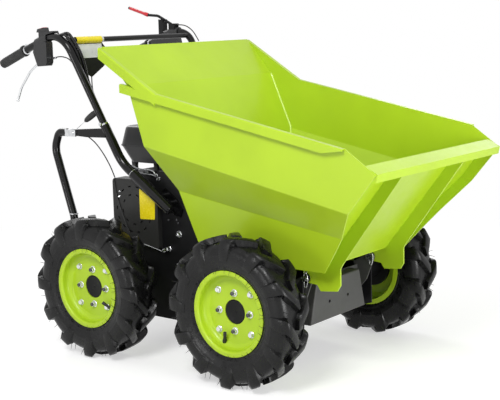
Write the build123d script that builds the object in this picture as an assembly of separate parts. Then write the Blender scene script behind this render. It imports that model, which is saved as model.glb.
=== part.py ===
"""Walk-behind four-wheel mini site dumper: tipping tub, chassis, engine and handlebar.

Millimetres. +Z is up, the tub's lip points to -Y and the operator walks at +Y, so the
machine's right-hand side is -X. The origin is on the ground, midway between lip and grips.
"""
from build123d import *
from math import hypot, pi, radians, tan
import os

# ---------------------------------------------------------------- driving dimensions
WHEELBASE = 518.0
FRONT_AXLE_Y = -259.0
TRACK = 652.8
TYRE_R = 202.0
TYRE_W = 106.0
RIM_FLANGE_R = 114.0
RIM_HALF_W = 40.2
RIM_SEAT_R = 102.7
RIM_T, FLANGE_LIP_T = 3.0, 2.7     # rim sheet, and its rolled flange
DISC_INSET = 30.0          # wheel disc behind the rim flange
DISC_T = 6.0
HUB_HOLE_R = 33.0
STUB_R = 15.0
STUB_CLEARANCE = 0.05
HALF_LENGTH = 678.0        # lip to origin, and grips to origin

SHEET = 3.0                # tub sheet
TUB_TOP_X = 323.0          # half width of the tub at its rim
TUB_FOLD_X = 318.0         # half width at the upper fold
TUB_FLOOR_X = 202.0        # half width at the floor
TUB_FLOOR_Z = 301.0
PIN_Y, PIN_Z, PIN_R = -366.0, 272.0, 8.0
PIN_CLEARANCE = 0.1
EAR_X, EAR_T = 156.5, 5.0

PLATE_X, PLATE_T = 166.0, 5.0      # chassis side plate: inner face and thickness
CHASSIS_FRONT = -357.0
REAR_OVERHANG = 172.0              # frame's rear edge behind the rear axle
BEAM_TOP, DECK_Z = 249.0, 300.0    # top of the side plates, and of the engine deck
AXLE_R = 27.0
SEAT = 0.3                 # clearance at a seat that is not face to face

GRIP_X = 270.0             # handlebar half width at the grips
TUBE_R, TUBE_WALL = 11.0, 2.0
LOWER_TUBE_R = 13.5        # the thicker tube that the handlebar's legs end in
CROSSBAR_R = 8.0
SOCKET_R = 15.5
STAY_X, STAY_R = 230.0, 12.0

GUARD_FRONT, GUARD_BACK, GUARD_TOP = 139.0, 316.0, 494.0     # belt guard, side view
GUARD_SLOPE_Y, GUARD_SLOPE_Z = 186.0, 455.0                  # ends of its sloping corner
GUARD_GAP = 1.0

REAR_AXLE_Y = FRONT_AXLE_Y + WHEELBASE
FRAME_REAR = REAR_AXLE_Y + REAR_OVERHANG
WHEEL_X = TRACK / 2
SIDES = {"right": -1, "left": 1}
WHEELS = {  # name: (side, axle y)
    "front_right": ("right", FRONT_AXLE_Y),
    "front_left": ("left", FRONT_AXLE_Y),
    "rear_right": ("right", REAR_AXLE_Y),
    "rear_left": ("left", REAR_AXLE_Y),
}

os.makedirs("parts", exist_ok=True)


# ---------------------------------------------------------------- helpers
def save(name, shape):
    """Writes one named piece."""
    export_step(shape, f"parts/{name}.step")


def side_prism(points, x0, x1):
    """A prism along X whose side view (y, z) is the polygon."""
    return extrude(Plane.YZ.offset(x0) * Polygon(*points, align=None), amount=x1 - x0, dir=(1, 0, 0))


def mirrored(shape):
    """The same shape on the machine's other side."""
    return mirror(shape, about=Plane.YZ)


def on_side(side, shape):
    """A shape drawn at +X, put on the named side."""
    return shape if SIDES[side] > 0 else mirrored(shape)


def both(shape):
    """The shape drawn at +X and its mirror image, as one node."""
    return Compound(children=[shape, mirrored(shape)])


def folded(line, thickness):
    """The section of a sheet bent along a polyline: the line and its mitred offset."""
    count = len(line)
    normals = []
    for (y0, z0), (y1, z1) in zip(line, line[1:]):
        length = hypot(y1 - y0, z1 - z0)
        normals.append((-(z1 - z0) / length, (y1 - y0) / length))
    back = []
    for i, (y, z) in enumerate(line):
        before = normals[max(i - 1, 0)]
        after = normals[min(i, count - 2)]
        scale = thickness / (1 + before[0] * after[0] + before[1] * after[1])
        back.append((y + (before[0] + after[0]) * scale, z + (before[1] + after[1]) * scale))
    return list(line) + back[::-1]


def bar(points, radii, outer, wall=None):
    """A round tube or rod along straight runs joined by arcs."""
    path = FilletPolyline(*points, radius=radii) if len(points) > 2 else Line(*points)
    section = Plane(origin=path @ 0, z_dir=path % 0) * Circle(outer)
    if wall:
        section -= Plane(origin=path @ 0, z_dir=path % 0) * Circle(outer - wall)
    return sweep(section, path=path)


def cord_bends(points):
    """The largest bend radius that the runs beside each inner point of a cord allow."""
    radii = []
    for a, b, c in zip(points, points[1:], points[2:]):
        before, after = Vector(*b) - Vector(*a), Vector(*c) - Vector(*b)
        half_turn = radians(before.get_angle(after)) / 2
        radii.append(0.45 * min(before.length, after.length) / tan(half_turn))
    return radii


def rod(start, end, radius):
    """A straight round rod between two points."""
    return bar([start, end], None, radius)


def box(x0, x1, y0, y1, z0, z1):
    """An upright box between its limits."""
    return Pos((x0 + x1) / 2, (y0 + y1) / 2, (z0 + z1) / 2) * Box(x1 - x0, y1 - y0, z1 - z0)


def disc(x0, x1, y, z, radius, hole=0.0):
    """A disc or ring about an axis along X."""
    ring = Circle(radius) - Circle(hole) if hole else Circle(radius)
    return extrude(Plane.YZ.offset(x0) * Pos(y, z) * ring, amount=x1 - x0, dir=(1, 0, 0))


# ---------------------------------------------------------------- wheels
def tyre_body():
    """The tyre's C section about X: beads, bulged walls and crown."""
    bead_x, bead_r = RIM_HALF_W - FLANGE_LIP_T, RIM_SEAT_R + SEAT
    half, wall = TYRE_W / 2, 8.0
    shoulder_x, shoulder_r = half - 9, TYRE_R - 7
    inner_x = bead_x - wall
    with BuildSketch(Plane.XZ) as section:
        with BuildLine():
            outer = ThreePointArc((bead_x, RIM_FLANGE_R + 3), (half, 0.55 * TYRE_R + 45),
                                  (shoulder_x, shoulder_r))
            crown = ThreePointArc(outer @ 1, (0, TYRE_R), (-shoulder_x, shoulder_r))
            other = ThreePointArc(crown @ 1, (-half, 0.55 * TYRE_R + 45),
                                  (-bead_x, RIM_FLANGE_R + 3))
            Polyline(other @ 1, (-bead_x, bead_r), (-inner_x, bead_r), (-inner_x, RIM_FLANGE_R + 3))
            inner = ThreePointArc((-inner_x, RIM_FLANGE_R + 3), (-(half - wall), 0.55 * TYRE_R + 45),
                                  (-(half - 14), shoulder_r - 15))
            top = ThreePointArc(inner @ 1, (0, TYRE_R - 13), (half - 14, shoulder_r - 15))
            last = ThreePointArc(top @ 1, (half - wall, 0.55 * TYRE_R + 45),
                                 (inner_x, RIM_FLANGE_R + 3))
            Polyline(last @ 1, (inner_x, bead_r), (bead_x, bead_r), (bead_x, RIM_FLANGE_R + 3))
        make_face()
    return revolve(section.sketch, axis=Axis.X)


def rim_body():
    """Two pressed halves bolted back to back: rolled flanges, bead seats, well and disc."""
    w, seat, under = RIM_HALF_W, RIM_SEAT_R, RIM_SEAT_R - RIM_T
    bead_x, tip = RIM_HALF_W - FLANGE_LIP_T, RIM_FLANGE_R - FLANGE_LIP_T / 2
    face = w - DISC_INSET
    back = face - DISC_T
    well = 90.0
    with BuildSketch(Plane.XZ) as section:
        with BuildLine():
            ThreePointArc((bead_x, tip), (w - FLANGE_LIP_T / 2, RIM_FLANGE_R), (w, tip))
            Line((w, tip), (w, under + 6))
            heel = TangentArc((w, under + 6), (w - 6, under), tangent=(0, -1))
            Line(heel @ 1, (face + 16, under))
            ThreePointArc((face + 16, under), (face + 4.2, under - 6), (face, well - 5))
            Polyline((face, well - 5), (face, HUB_HOLE_R), (back, HUB_HOLE_R), (back, well - RIM_T),
                     (back - 9, under), (-w, under), (-w, tip))
            ThreePointArc((-w, tip), (-(w - FLANGE_LIP_T / 2), RIM_FLANGE_R), (-bead_x, tip))
            Polyline((-bead_x, tip), (-bead_x, seat), (back - 8, seat), (back + 2, well),
                     (face - 2, well), (face + 11, seat), (bead_x, seat), (bead_x, tip))
        make_face()
    return revolve(section.sketch, axis=Axis.X)


HUB_LENGTH, NOSE_RECESS, STUB_RECESS = 54.0, 1.5, 3.0


def hub_body():
    """Flange behind the disc, nose just short of its face and a long bearing barrel."""
    back = RIM_HALF_W - DISC_INSET - DISC_T
    bore = STUB_R + STUB_CLEARANCE
    nose, nose_end = HUB_HOLE_R - SEAT, back + DISC_T - NOSE_RECESS
    section = Polygon((nose_end, bore), (nose_end, nose - 1), (nose_end - 1, nose), (back, nose), (back, 62),
                      (back - 8, 62), (back - 8, 34), (back - HUB_LENGTH, 30), (back - HUB_LENGTH, bore),
                      align=None)
    return revolve(Plane.XZ * section, axis=Axis.X)


tyre, rim, hub = tyre_body(), rim_body(), hub_body()
for name, (side, axle_y) in WHEELS.items():
    place = Pos(WHEEL_X, axle_y, TYRE_R)
    save(f"tyre_{name}", on_side(side, place * tyre))
    save(f"rim_{name}", on_side(side, place * rim))
    save(f"hub_{name}", on_side(side, place * hub))

DISC_FACE_X = WHEEL_X + RIM_HALF_W - DISC_INSET
HUB_BACK_X = DISC_FACE_X - DISC_T - HUB_LENGTH
STUB_END_X = DISC_FACE_X - STUB_RECESS
FLANGE_T = 8.0
for name, axle_y in (("axle_front", FRONT_AXLE_Y), ("axle_rear", REAR_AXLE_Y)):
    housing_x = HUB_BACK_X - 2
    beam = disc(-housing_x, housing_x, axle_y, TYRE_R, AXLE_R)
    stubs = disc(-STUB_END_X, STUB_END_X, axle_y, TYRE_R, STUB_R)
    flange_x = PLATE_X + PLATE_T
    flange = box(flange_x, flange_x + FLANGE_T, axle_y - 45, axle_y + 45, TYRE_R - 45, TYRE_R + 45)
    save(name, beam + stubs + flange + mirrored(flange))

# ---------------------------------------------------------------- tub
RIM_SLOPE = 0.194                      # the side sheet's top edge, rise per mm rearwards
RIM_FRONT = (-593.0, 643.0)            # front end of the straight top edge
WING_START = (-1.0, RIM_FRONT[1] + RIM_SLOPE * (592.0))
WING_TOP = (200.0, 880.0)
LIP = (-HALF_LENGTH, 585.0)
FLOOR_FRONT, FLOOR_REAR = -412.0, -75.0
WALL_TOP = (-647.0, 601.0)             # front wall, outer face, under the lip
REAR_FOLDS = [(FLOOR_REAR, TUB_FLOOR_Z), (30.0, 610.0), (107.0, 776.0), WING_TOP]


def tub_section(y, inset):
    """The tub's outline across the machine at y, with both side folds."""
    upper_z = 485.0 + 0.197 * (y + 597)
    lower_x, lower_z = 252.0 - 0.0382 * (y + 535), 407.0 + 0.14 * (y + 535)
    floor_z = TUB_FLOOR_Z + (SHEET if inset else 0)
    top_x = TUB_FOLD_X + (960.0 - upper_z) * (TUB_TOP_X - TUB_FOLD_X) / 156
    half = [(TUB_FLOOR_X - inset, floor_z), (lower_x - inset, lower_z),
            (TUB_FOLD_X - inset, upper_z), (top_x - inset, 960.0)]
    points = half + [(-x, z) for x, z in reversed(half)]
    return Plane.XZ.offset(-y) * Polygon(*points, align=None)


def tub_volume(inset):
    """The ruled volume from ahead of the lip to behind the rear wall, its side folds rounded."""
    volume = loft([tub_section(-HALF_LENGTH - 20, inset), tub_section(WING_TOP[0] + 20, inset)], ruled=True)
    long_edges = [e for e in volume.edges() if e.length > HALF_LENGTH]
    folds = [e for e in long_edges if TUB_FLOOR_Z + 50 < e.center().Z < 900]
    return fillet(folds, FOLD_R - (SHEET if inset else 0))


FOLD_R = 9.0                           # outer radius of the side sheets' folds
INSET = SHEET * 1.17                   # a sheet's width measured across a sloping side
tub_outer, tub_inner = tub_volume(0), tub_volume(INSET)
side_outline = [LIP, RIM_FRONT, WING_START, WING_TOP, (107, 776), (100, 753), (59, 613), (15, 484),
                (-32, 337), (-41, TUB_FLOOR_Z), (-448, TUB_FLOOR_Z), (-464, 321), (-535, 407), (-597, 485)]
shell = (tub_outer - tub_inner) & side_prism(side_outline, -400, 400)
shell -= box(-(TUB_FLOOR_X - INSET), TUB_FLOOR_X - INSET, -500, 0, TUB_FLOOR_Z - 5, TUB_FLOOR_Z + SHEET)


def rim_strip(start, end, drop, spread=0.0):
    """The rolled-out rim of a side sheet between two points of its top edge."""
    out, low = TUB_TOP_X + 13, -drop
    section = Polygon((TUB_TOP_X - 1.5, -SHEET), (TUB_TOP_X - 1.5, 0), (out - SHEET, 0), (out, -SHEET),
                      (out, low), (out - SHEET, low), (out - SHEET, -SHEET), align=None)
    run = Vector(spread, end[0] - start[0], end[1] - start[1])
    face = Plane(origin=(0, start[0], start[1]), x_dir=(1, 0, 0), z_dir=(0, -1, 0)) * section
    return extrude(face, amount=run.length, dir=run.normalized())


RIM_END_Y = 126.0
rim_end = (RIM_END_Y, RIM_FRONT[1] + RIM_SLOPE * (RIM_END_Y - RIM_FRONT[0]))
strip = rim_strip(RIM_FRONT, rim_end, 24) + rim_strip(WING_START, WING_TOP, 30, 2.4)
notch = side_prism([(RIM_FRONT[0] - 5, RIM_FRONT[1] - 4), (RIM_FRONT[0] + 70, RIM_FRONT[1] - 14),
                    (RIM_FRONT[0] - 5, RIM_FRONT[1] - 60)], TUB_TOP_X + 1, TUB_TOP_X + 20)
strip -= notch
left_sheet = (shell & box(0, 400, -800, 400, 200, 1000)) + strip
save("tub_side_left", left_sheet)
save("tub_side_right", mirrored(left_sheet))

front_line = [(FLOOR_FRONT, TUB_FLOOR_Z), WALL_TOP, LIP, (-674.0, 567.0)]
front_wall = side_prism(folded(front_line, -SHEET), -400, 400) & tub_inner
front_wall -= box(-400, 400, FLOOR_FRONT, 0, TUB_FLOOR_Z - 5, TUB_FLOOR_Z + SHEET)
save("tub_front_wall", front_wall)
rear_wall = side_prism(folded(REAR_FOLDS, SHEET), -400, 400) & tub_inner
rear_wall -= box(-400, 400, -400, FLOOR_REAR, TUB_FLOOR_Z - 5, TUB_FLOOR_Z + SHEET)
save("tub_rear_wall", rear_wall)
floor_half = TUB_FLOOR_X - INSET
save("tub_floor", box(-floor_half, floor_half, FLOOR_FRONT, FLOOR_REAR, TUB_FLOOR_Z, TUB_FLOOR_Z + SHEET))


def wall_point(along, out):
    """A point by its distance up the front wall's outer face and out from it."""
    dy, dz = WALL_TOP[0] - FLOOR_FRONT, WALL_TOP[1] - TUB_FLOOR_Z
    length = hypot(dy, dz)
    return (FLOOR_FRONT + (dy * along - dz * out) / length, TUB_FLOOR_Z + (dz * along + dy * out) / length)


EAR_LOBE_R = 14.0
rib_line = [(FLOOR_FRONT, TUB_FLOOR_Z), wall_point(318, 0), wall_point(352, 30), wall_point(56, 40),
            (-470, 307), (-470, 262), (-460, 246), (-408, 240), (-397, 256), (PIN_Y - 4, PIN_Z - EAR_LOBE_R),
            (PIN_Y + EAR_LOBE_R, PIN_Z), (PIN_Y + EAR_LOBE_R, TUB_FLOOR_Z)]
rib = side_prism(rib_line, EAR_X, EAR_X + EAR_T)
rib += disc(EAR_X, EAR_X + EAR_T, PIN_Y, PIN_Z, EAR_LOBE_R)
rib -= disc(EAR_X - 1, EAR_X + EAR_T + 1, PIN_Y, PIN_Z, PIN_R + PIN_CLEARANCE)
save("tub_ribs", both(rib))

# ---------------------------------------------------------------- chassis
LUG_R = 13.0
PLATE_LOW = 90.0
side_line = [(CHASSIS_FRONT, 132), (CHASSIS_FRONT, 258), (PIN_Y, PIN_Z + LUG_R), (-335, BEAM_TOP),
             (-12, BEAM_TOP), (12, 400), (62, 520), (190, 522), (214, 512), (214, GUARD_TOP + 2),
             (GUARD_SLOPE_Y, GUARD_TOP + 2), (GUARD_FRONT - GUARD_GAP, GUARD_SLOPE_Z + 2),
             (GUARD_FRONT - GUARD_GAP, DECK_Z), (FRAME_REAR, DECK_Z), (FRAME_REAR, 235),
             (FRAME_REAR - 81, 120), (FRAME_REAR - 131, PLATE_LOW), (-230, PLATE_LOW)]
plate = side_prism(side_line, PLATE_X, PLATE_X + PLATE_T)
plate += disc(PLATE_X, PLATE_X + PLATE_T, PIN_Y, PIN_Z, LUG_R)
plate -= disc(PLATE_X - 1, PLATE_X + PLATE_T + 1, PIN_Y, PIN_Z, PIN_R)
for axle_y in (FRONT_AXLE_Y, REAR_AXLE_Y):
    plate -= disc(PLATE_X - 1, PLATE_X + PLATE_T + 1, axle_y, TYRE_R, AXLE_R + SEAT)
save("chassis_sides", both(plate))

LUG_X, LUG_T = 148.0, 5.0
MOUNT_X, MOUNT_Z, MOUNT_R = 45.0, 182.0, 4.5
PAN_T, PAN_DEPTH = 4.0, 34.0
BACK_Y = CHASSIS_FRONT + PAN_DEPTH     # front of the cross plate that carries the pan
PAN_LOW, PAN_HIGH = 132.0, 243.0
PAN_LOW_X, PAN_HIGH_X = 135.0, 106.0


def pan_block(inset, y0, depth):
    """The front pan's trapezium, drawn in by a wall, as a block along Y."""
    edge = Polygon((-(PAN_LOW_X - inset), PAN_LOW + inset), (PAN_LOW_X - inset, PAN_LOW + inset),
                   (PAN_HIGH_X - inset, PAN_HIGH - inset), (-(PAN_HIGH_X - inset), PAN_HIGH - inset), align=None)
    return extrude(Plane.XZ.offset(-y0) * edge, amount=depth, dir=(0, 1, 0))


pan = pan_block(0, CHASSIS_FRONT, PAN_DEPTH)
pan = fillet(pan.faces().sort_by(Axis.Y)[0].edges(), PAN_T)
front = pan - pan_block(PAN_T, CHASSIS_FRONT + PAN_T, PAN_DEPTH)
front += box(-PLATE_X, PLATE_X, BACK_Y, BACK_Y + PAN_T, PAN_LOW, BEAM_TOP - PAN_T)
lug = side_prism([(BACK_Y, 170), (BACK_Y - 30, 205), (PIN_Y - LUG_R, PIN_Z), (PIN_Y, PIN_Z + LUG_R),
                  (BACK_Y + 12, BEAM_TOP + 4), (BACK_Y + 12, 190)], LUG_X, LUG_X + LUG_T)
lug += disc(LUG_X, LUG_X + LUG_T, PIN_Y, PIN_Z, LUG_R)
lug -= disc(LUG_X - 1, LUG_X + LUG_T + 1, PIN_Y, PIN_Z, PIN_R)
front += lug + mirrored(lug)
for x in (-MOUNT_X, MOUNT_X):
    front -= Pos(x, CHASSIS_FRONT, MOUNT_Z) * Rot(90, 0, 0) * Cylinder(MOUNT_R, 40)
save("chassis_front_plate", front)

floor_line = [(BACK_Y + PAN_T, PAN_LOW), (-230, PLATE_LOW), (FRAME_REAR - 131, PLATE_LOW),
              (FRAME_REAR - 81, 120), (FRAME_REAR - 6, 227)]
floor = side_prism(folded(floor_line, SHEET + 1), -PLATE_X, PLATE_X)
STAY_Y, STAY_Z = FRAME_REAR + 9, 250.0
deck = box(-PLATE_X, PLATE_X, GUARD_FRONT - GUARD_GAP, FRAME_REAR, DECK_Z - 5, DECK_Z)
deck -= box(-PLATE_X + 4, -PLATE_X + 24, 178, 286, DECK_Z - 9, DECK_Z + 4)
beam = box(-245, 245, FRAME_REAR, FRAME_REAR + 20, STAY_Z - 25, STAY_Z)
beam -= box(-241, 241, FRAME_REAR + 3, FRAME_REAR + 17, STAY_Z - 28, STAY_Z - 3)
tail = box(-PLATE_X, PLATE_X, FRAME_REAR, FRAME_REAR + 4, STAY_Z, DECK_Z)
save("engine_deck", deck + beam + tail)
REST_Y, REST_X, REST_R = -120.0, 110.0, 18.0
rest_beam = box(-PLATE_X, PLATE_X, REST_Y - 20, REST_Y + 20, BEAM_TOP - 30, BEAM_TOP)
rest_beam -= box(-PLATE_X - 1, PLATE_X + 1, REST_Y - 17, REST_Y + 17, BEAM_TOP - 40, BEAM_TOP - 3)
save("chassis_floor", Compound(children=[floor, rest_beam]))
rest = extrude(Pos(REST_X, REST_Y, BEAM_TOP) * Circle(REST_R), amount=TUB_FLOOR_Z - SEAT - BEAM_TOP, taper=6)
save("tub_rests", both(rest))
pin_out = PLATE_X + PLATE_T + 9
pin = disc(LUG_X - 6, pin_out, PIN_Y, PIN_Z, PIN_R) + disc(LUG_X - 6, LUG_X, PIN_Y, PIN_Z, PIN_R + 4)
save("hinge_pins", both(pin))

# ---------------------------------------------------------------- engine and drive
SHAFT_Y, SHAFT_Z, SHAFT_R = 232.0, DECK_Z + 106, 10.0
CASE_X0, CASE_X1, CASE_Y0, CASE_Y1, CASE_TOP = -100.0, 70.0, 168.0, 300.0, 512.0
PULLEY_X, PULLEY_W = -155.0, 12.0
TANK_X, TANK_Y = -13.0, 236.0
TANK_LOW, TANK_SEAM, TANK_TOP = 534.0, 584.0, 641.0
case = fillet(box(CASE_X0, CASE_X1, CASE_Y0, CASE_Y1, DECK_Z, CASE_TOP).edges().filter_by(Axis.X), 26)
case += box(CASE_X0 - 8, CASE_X1, CASE_Y0 - 12, CASE_Y1 + 12, DECK_Z, DECK_Z + 14)
cover = disc(CASE_X0 - 14, CASE_X0, SHAFT_Y, SHAFT_Z, 62) + disc(CASE_X0 - 26, CASE_X0, SHAFT_Y, SHAFT_Z, 30)
shaft = disc(PULLEY_X - 8, CASE_X0, SHAFT_Y, SHAFT_Z, SHAFT_R)
shaft += disc(PULLEY_X - PULLEY_W / 2, PULLEY_X + PULLEY_W / 2, SHAFT_Y, SHAFT_Z, 38)
tank_feet = box(-70, -50, 205, 245, CASE_TOP - 2, TANK_LOW) + box(30, 50, 205, 245, CASE_TOP - 2, TANK_LOW)

# cylinder: a core with square fins along an axis that leans towards the tub
BORE_LEAN, BORE_Z = 25.0, 425.0
bore = Pos(-15, CASE_Y0, BORE_Z) * Rot(90 - BORE_LEAN, 0, 0)
FIN_T, FIN_PITCH, FINS = 3.0, 9.0, 6
clear_case = box(-200, 200, CASE_Y0, 400, 0, 700)
cylinder = bore * Pos(0, 0, 27) * Box(84, 84, 74)
for i in range(FINS):
    cylinder += bore * Pos(0, 0, 9 + FIN_PITCH * i) * Box(112, 104, FIN_T)
head = bore * Pos(0, 0, 70) * fillet(Box(108, 98, 18).edges().filter_by(Axis.Z), 10)
rocker = bore * Pos(0, 0, 92) * fillet(Box(74, 70, 27).edges().filter_by(Axis.Z), 14)
inlet = bar([(42, 96, 470), (42, 96, 540)], None, 15) + bar([(-72, 100, 468), (-72, 100, 534)], None, 13)
cylinder = (cylinder + head + rocker + inlet) - clear_case
save("engine_block", case + cover + shaft + tank_feet + cylinder)


def tank_ring(z, width, depth, corner):
    """A rounded rectangle of the tank at height z."""
    return Pos(TANK_X, TANK_Y, z) * RectangleRounded(width, depth, corner)


lower = loft([tank_ring(TANK_LOW, 212, 150, 26), tank_ring(TANK_SEAM, 240, 216, 34)], ruled=True)
upper = loft([tank_ring(TANK_SEAM, 240, 216, 34), tank_ring(TANK_TOP, 220, 188, 30)], ruled=True)
upper = fillet(upper.faces().sort_by(Axis.Z)[-1].edges(), 12)
seam = extrude(tank_ring(TANK_SEAM - 1.5, 243, 219, 35), amount=3)
neck = Pos(TANK_X, TANK_Y, TANK_TOP) * Cylinder(33, 20)
grip_rib = Pos(TANK_X, TANK_Y, TANK_TOP + 13) * Box(60, 12, 10)
save("fuel_tank", lower + upper + seam + neck + grip_rib)

RECOIL_X0, RECOIL_X1, RECOIL_R = CASE_X1, 146.0, 106.0
recoil = disc(RECOIL_X0, RECOIL_X1 - 16, SHAFT_Y, SHAFT_Z, RECOIL_R)
recoil += disc(RECOIL_X1 - 16, RECOIL_X1, SHAFT_Y, SHAFT_Z, 84)
recoil -= box(0, 200, 0, 500, 200, DECK_Z)
for k in range(16):
    slot = Pos(RECOIL_X1 - 6, 0, 0) * Box(14, 7, 30)
    recoil -= Pos(0, SHAFT_Y, SHAFT_Z) * Rot(22.5 * k, 0, 0) * Pos(0, 0, 58) * slot
handle = Pos(RECOIL_X1 - 8, SHAFT_Y + 78, SHAFT_Z + 66) * fillet(Box(20, 46, 16).edges().filter_by(Axis.Y), 7)
save("recoil_cover", recoil + handle)

cleaner = fillet(box(8, 112, 56, 112, 540, 634).edges().filter_by(Axis.Y), 16)
cleaner += Pos(60, 56, 590) * Rot(90, 0, 0) * Cylinder(9, 12)
save("air_cleaner", cleaner)
silencer = fillet(box(-122, -14, 58, 112, 534, 606).edges(), 14)
tail_pipe = bar([(-122, 84, 560), (-136, 84, 560)], None, 9)
save("silencer", silencer + tail_pipe)

GEAR_X, GEAR_Y0, GEAR_Y1 = 80.0, REAR_AXLE_Y - 99, REAR_AXLE_Y + 76
DRIVE_Y, DRIVE_Z = REAR_AXLE_Y - 74, 236.0
gearbox = fillet(box(-GEAR_X, GEAR_X, GEAR_Y0, GEAR_Y1, 112, DECK_Z - 5).edges().filter_by(Axis.X), 24)
gearbox += box(-GEAR_X - 12, GEAR_X + 12, REAR_AXLE_Y - 13, REAR_AXLE_Y + 13, 130, 274)
gearbox += disc(PULLEY_X - 8, -GEAR_X, DRIVE_Y, DRIVE_Z, 12)
gearbox += disc(PULLEY_X - PULLEY_W / 2, PULLEY_X + PULLEY_W / 2, DRIVE_Y, DRIVE_Z, 46)
gearbox -= disc(-200, 200, REAR_AXLE_Y, TYRE_R, AXLE_R + SEAT)
save("gearbox", gearbox)

GUARD_X0, GUARD_X1, GUARD_T = -187.0, -142.0, 2.0
guard_line = [(GUARD_FRONT, GUARD_SLOPE_Z), (GUARD_FRONT, DECK_Z), (GUARD_BACK, DECK_Z),
              (GUARD_BACK, GUARD_TOP), (GUARD_SLOPE_Y, GUARD_TOP)]
guard = side_prism(guard_line, GUARD_X0, GUARD_X1)
guard = fillet(guard.edges().filter_by(Axis.X).sort_by(Axis.Z)[-2:], 12)
hollow_line = [(GUARD_FRONT + GUARD_T, GUARD_SLOPE_Z - 1), (GUARD_FRONT + GUARD_T, DECK_Z - 1),
               (GUARD_BACK - GUARD_T, DECK_Z - 1), (GUARD_BACK - GUARD_T, GUARD_TOP - GUARD_T),
               (GUARD_SLOPE_Y + 1, GUARD_TOP - GUARD_T)]
hollow = side_prism(hollow_line, GUARD_X0 + GUARD_T, GUARD_X1 - GUARD_T)
hollow += disc(GUARD_X1 - 4, GUARD_X1 + 2, SHAFT_Y, SHAFT_Z, 34)
guard -= hollow
LOUVRES = [  # radius of the ring, slots in it
    (68, 14),
    (44, 9),
]
for radius, count in LOUVRES:
    for k in range(count):
        cut = Pos(GUARD_X0, 0, 0) * Box(10, 11, 4)
        guard -= Pos(0, SHAFT_Y, SHAFT_Z) * Rot((k + 0.5) * 360 / count, 0, 0) * Pos(0, 0, radius) * cut
save("belt_guard", guard)

# ---------------------------------------------------------------- handlebar
HAND_RUN = [(GRIP_X, HALF_LENGTH, 828), (GRIP_X, 545, 880), (GRIP_X, 463, 909), (GRIP_X + 8, 396, 910),
            (205, 256, 545), (205, 74, 420)]
HAND_BENDS = [120, 60, 70, 90]
LOWER_TUBE_TOP = 122.0                 # its length above the knee's corner
solid_tube = bar(HAND_RUN, HAND_BENDS, TUBE_R)
hand_end, knee, foot = Vector(*HAND_RUN[0]), Vector(*HAND_RUN[-2]), Vector(*HAND_RUN[-1])
lower_top = knee + (Vector(*HAND_RUN[-3]) - knee).normalized() * LOWER_TUBE_TOP
lower_tube = bar([tuple(lower_top), tuple(knee), tuple(foot)], HAND_BENDS[-1:], LOWER_TUBE_R)
tube = bar(HAND_RUN, HAND_BENDS, TUBE_R, TUBE_WALL)
sleeve = lower_tube - solid_tube
save("handlebar_tubes", Compound(children=[tube, mirrored(tube), sleeve, mirrored(sleeve)]))
hand_way = (Vector(*HAND_RUN[1]) - hand_end).normalized()
leg_way = (knee - foot).normalized()


def along(start, way, near, far, radius):
    """A rod on the line from start, between two distances."""
    return rod(tuple(start + way * near), tuple(start + way * far), radius)


SOCKET_LENGTH = 168.0
socket = along(foot, leg_way, 0, SOCKET_LENGTH, SOCKET_R)
ear_plate = side_prism([(62, 396), (54, 418), (74, 446), (118, 475), (135, 462), (135, 442), (84, 400)],
                       PLATE_X + PLATE_T, PLATE_X + PLATE_T + 6)
for distance in (24, 58):
    spacer = foot + leg_way * distance
    socket += disc(PLATE_X + PLATE_T + 6, spacer.X, spacer.Y, spacer.Z, 11)
socket = (socket + ear_plate) - along(foot, leg_way, -5, SOCKET_LENGTH, LOWER_TUBE_R) - lower_tube
save("handlebar_sockets", both(socket))

BAR_Y, BAR_Z = 404.0, 897.0            # on the line of the handlebar's upper bends
crossbar = disc(-GRIP_X - 6, GRIP_X + 6, BAR_Y, BAR_Z, CROSSBAR_R) - solid_tube - mirrored(solid_tube)
save("handlebar_crossbar", crossbar.solids().sort_by(SortBy.VOLUME)[-1])

GRIP_LENGTH, GRIP_R = 112.0, 14.5
grip = along(hand_end, hand_way, 0, GRIP_LENGTH, GRIP_R)
grip = fillet(grip.edges().sort_by(Axis.Y)[-1:], 3) + along(hand_end, hand_way, GRIP_LENGTH - 7, GRIP_LENGTH, 17)
grip -= along(hand_end, hand_way, -1, GRIP_LENGTH + 2, TUBE_R)
save("grips", both(grip))

DASH_T = 2.0
SLEEVE_X0, SLEEVE_X1 = -228.0, -125.0  # the sleeve that clamps the panel to the crossbar
dash_line = [(-256, BAR_Z - CROSSBAR_R - 1), (-120, BAR_Z - CROSSBAR_R - 1), (-107, 875), (-112, 819),
             (-166, 787), (-232, 820)]
dash = extrude(Plane.XZ.offset(-BAR_Y - DASH_T / 2) * Polygon(*dash_line, align=None), amount=DASH_T,
               dir=(0, -1, 0))
dash = fillet(dash.edges().filter_by(Axis.Y).sort_by(Axis.Z)[0], 8)
dash += disc(SLEEVE_X0, SLEEVE_X1, BAR_Y, BAR_Z, CROSSBAR_R + 2)
save("dash_panel", dash - disc(-GRIP_X, GRIP_X, BAR_Y, BAR_Z, CROSSBAR_R + 0.02))

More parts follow.
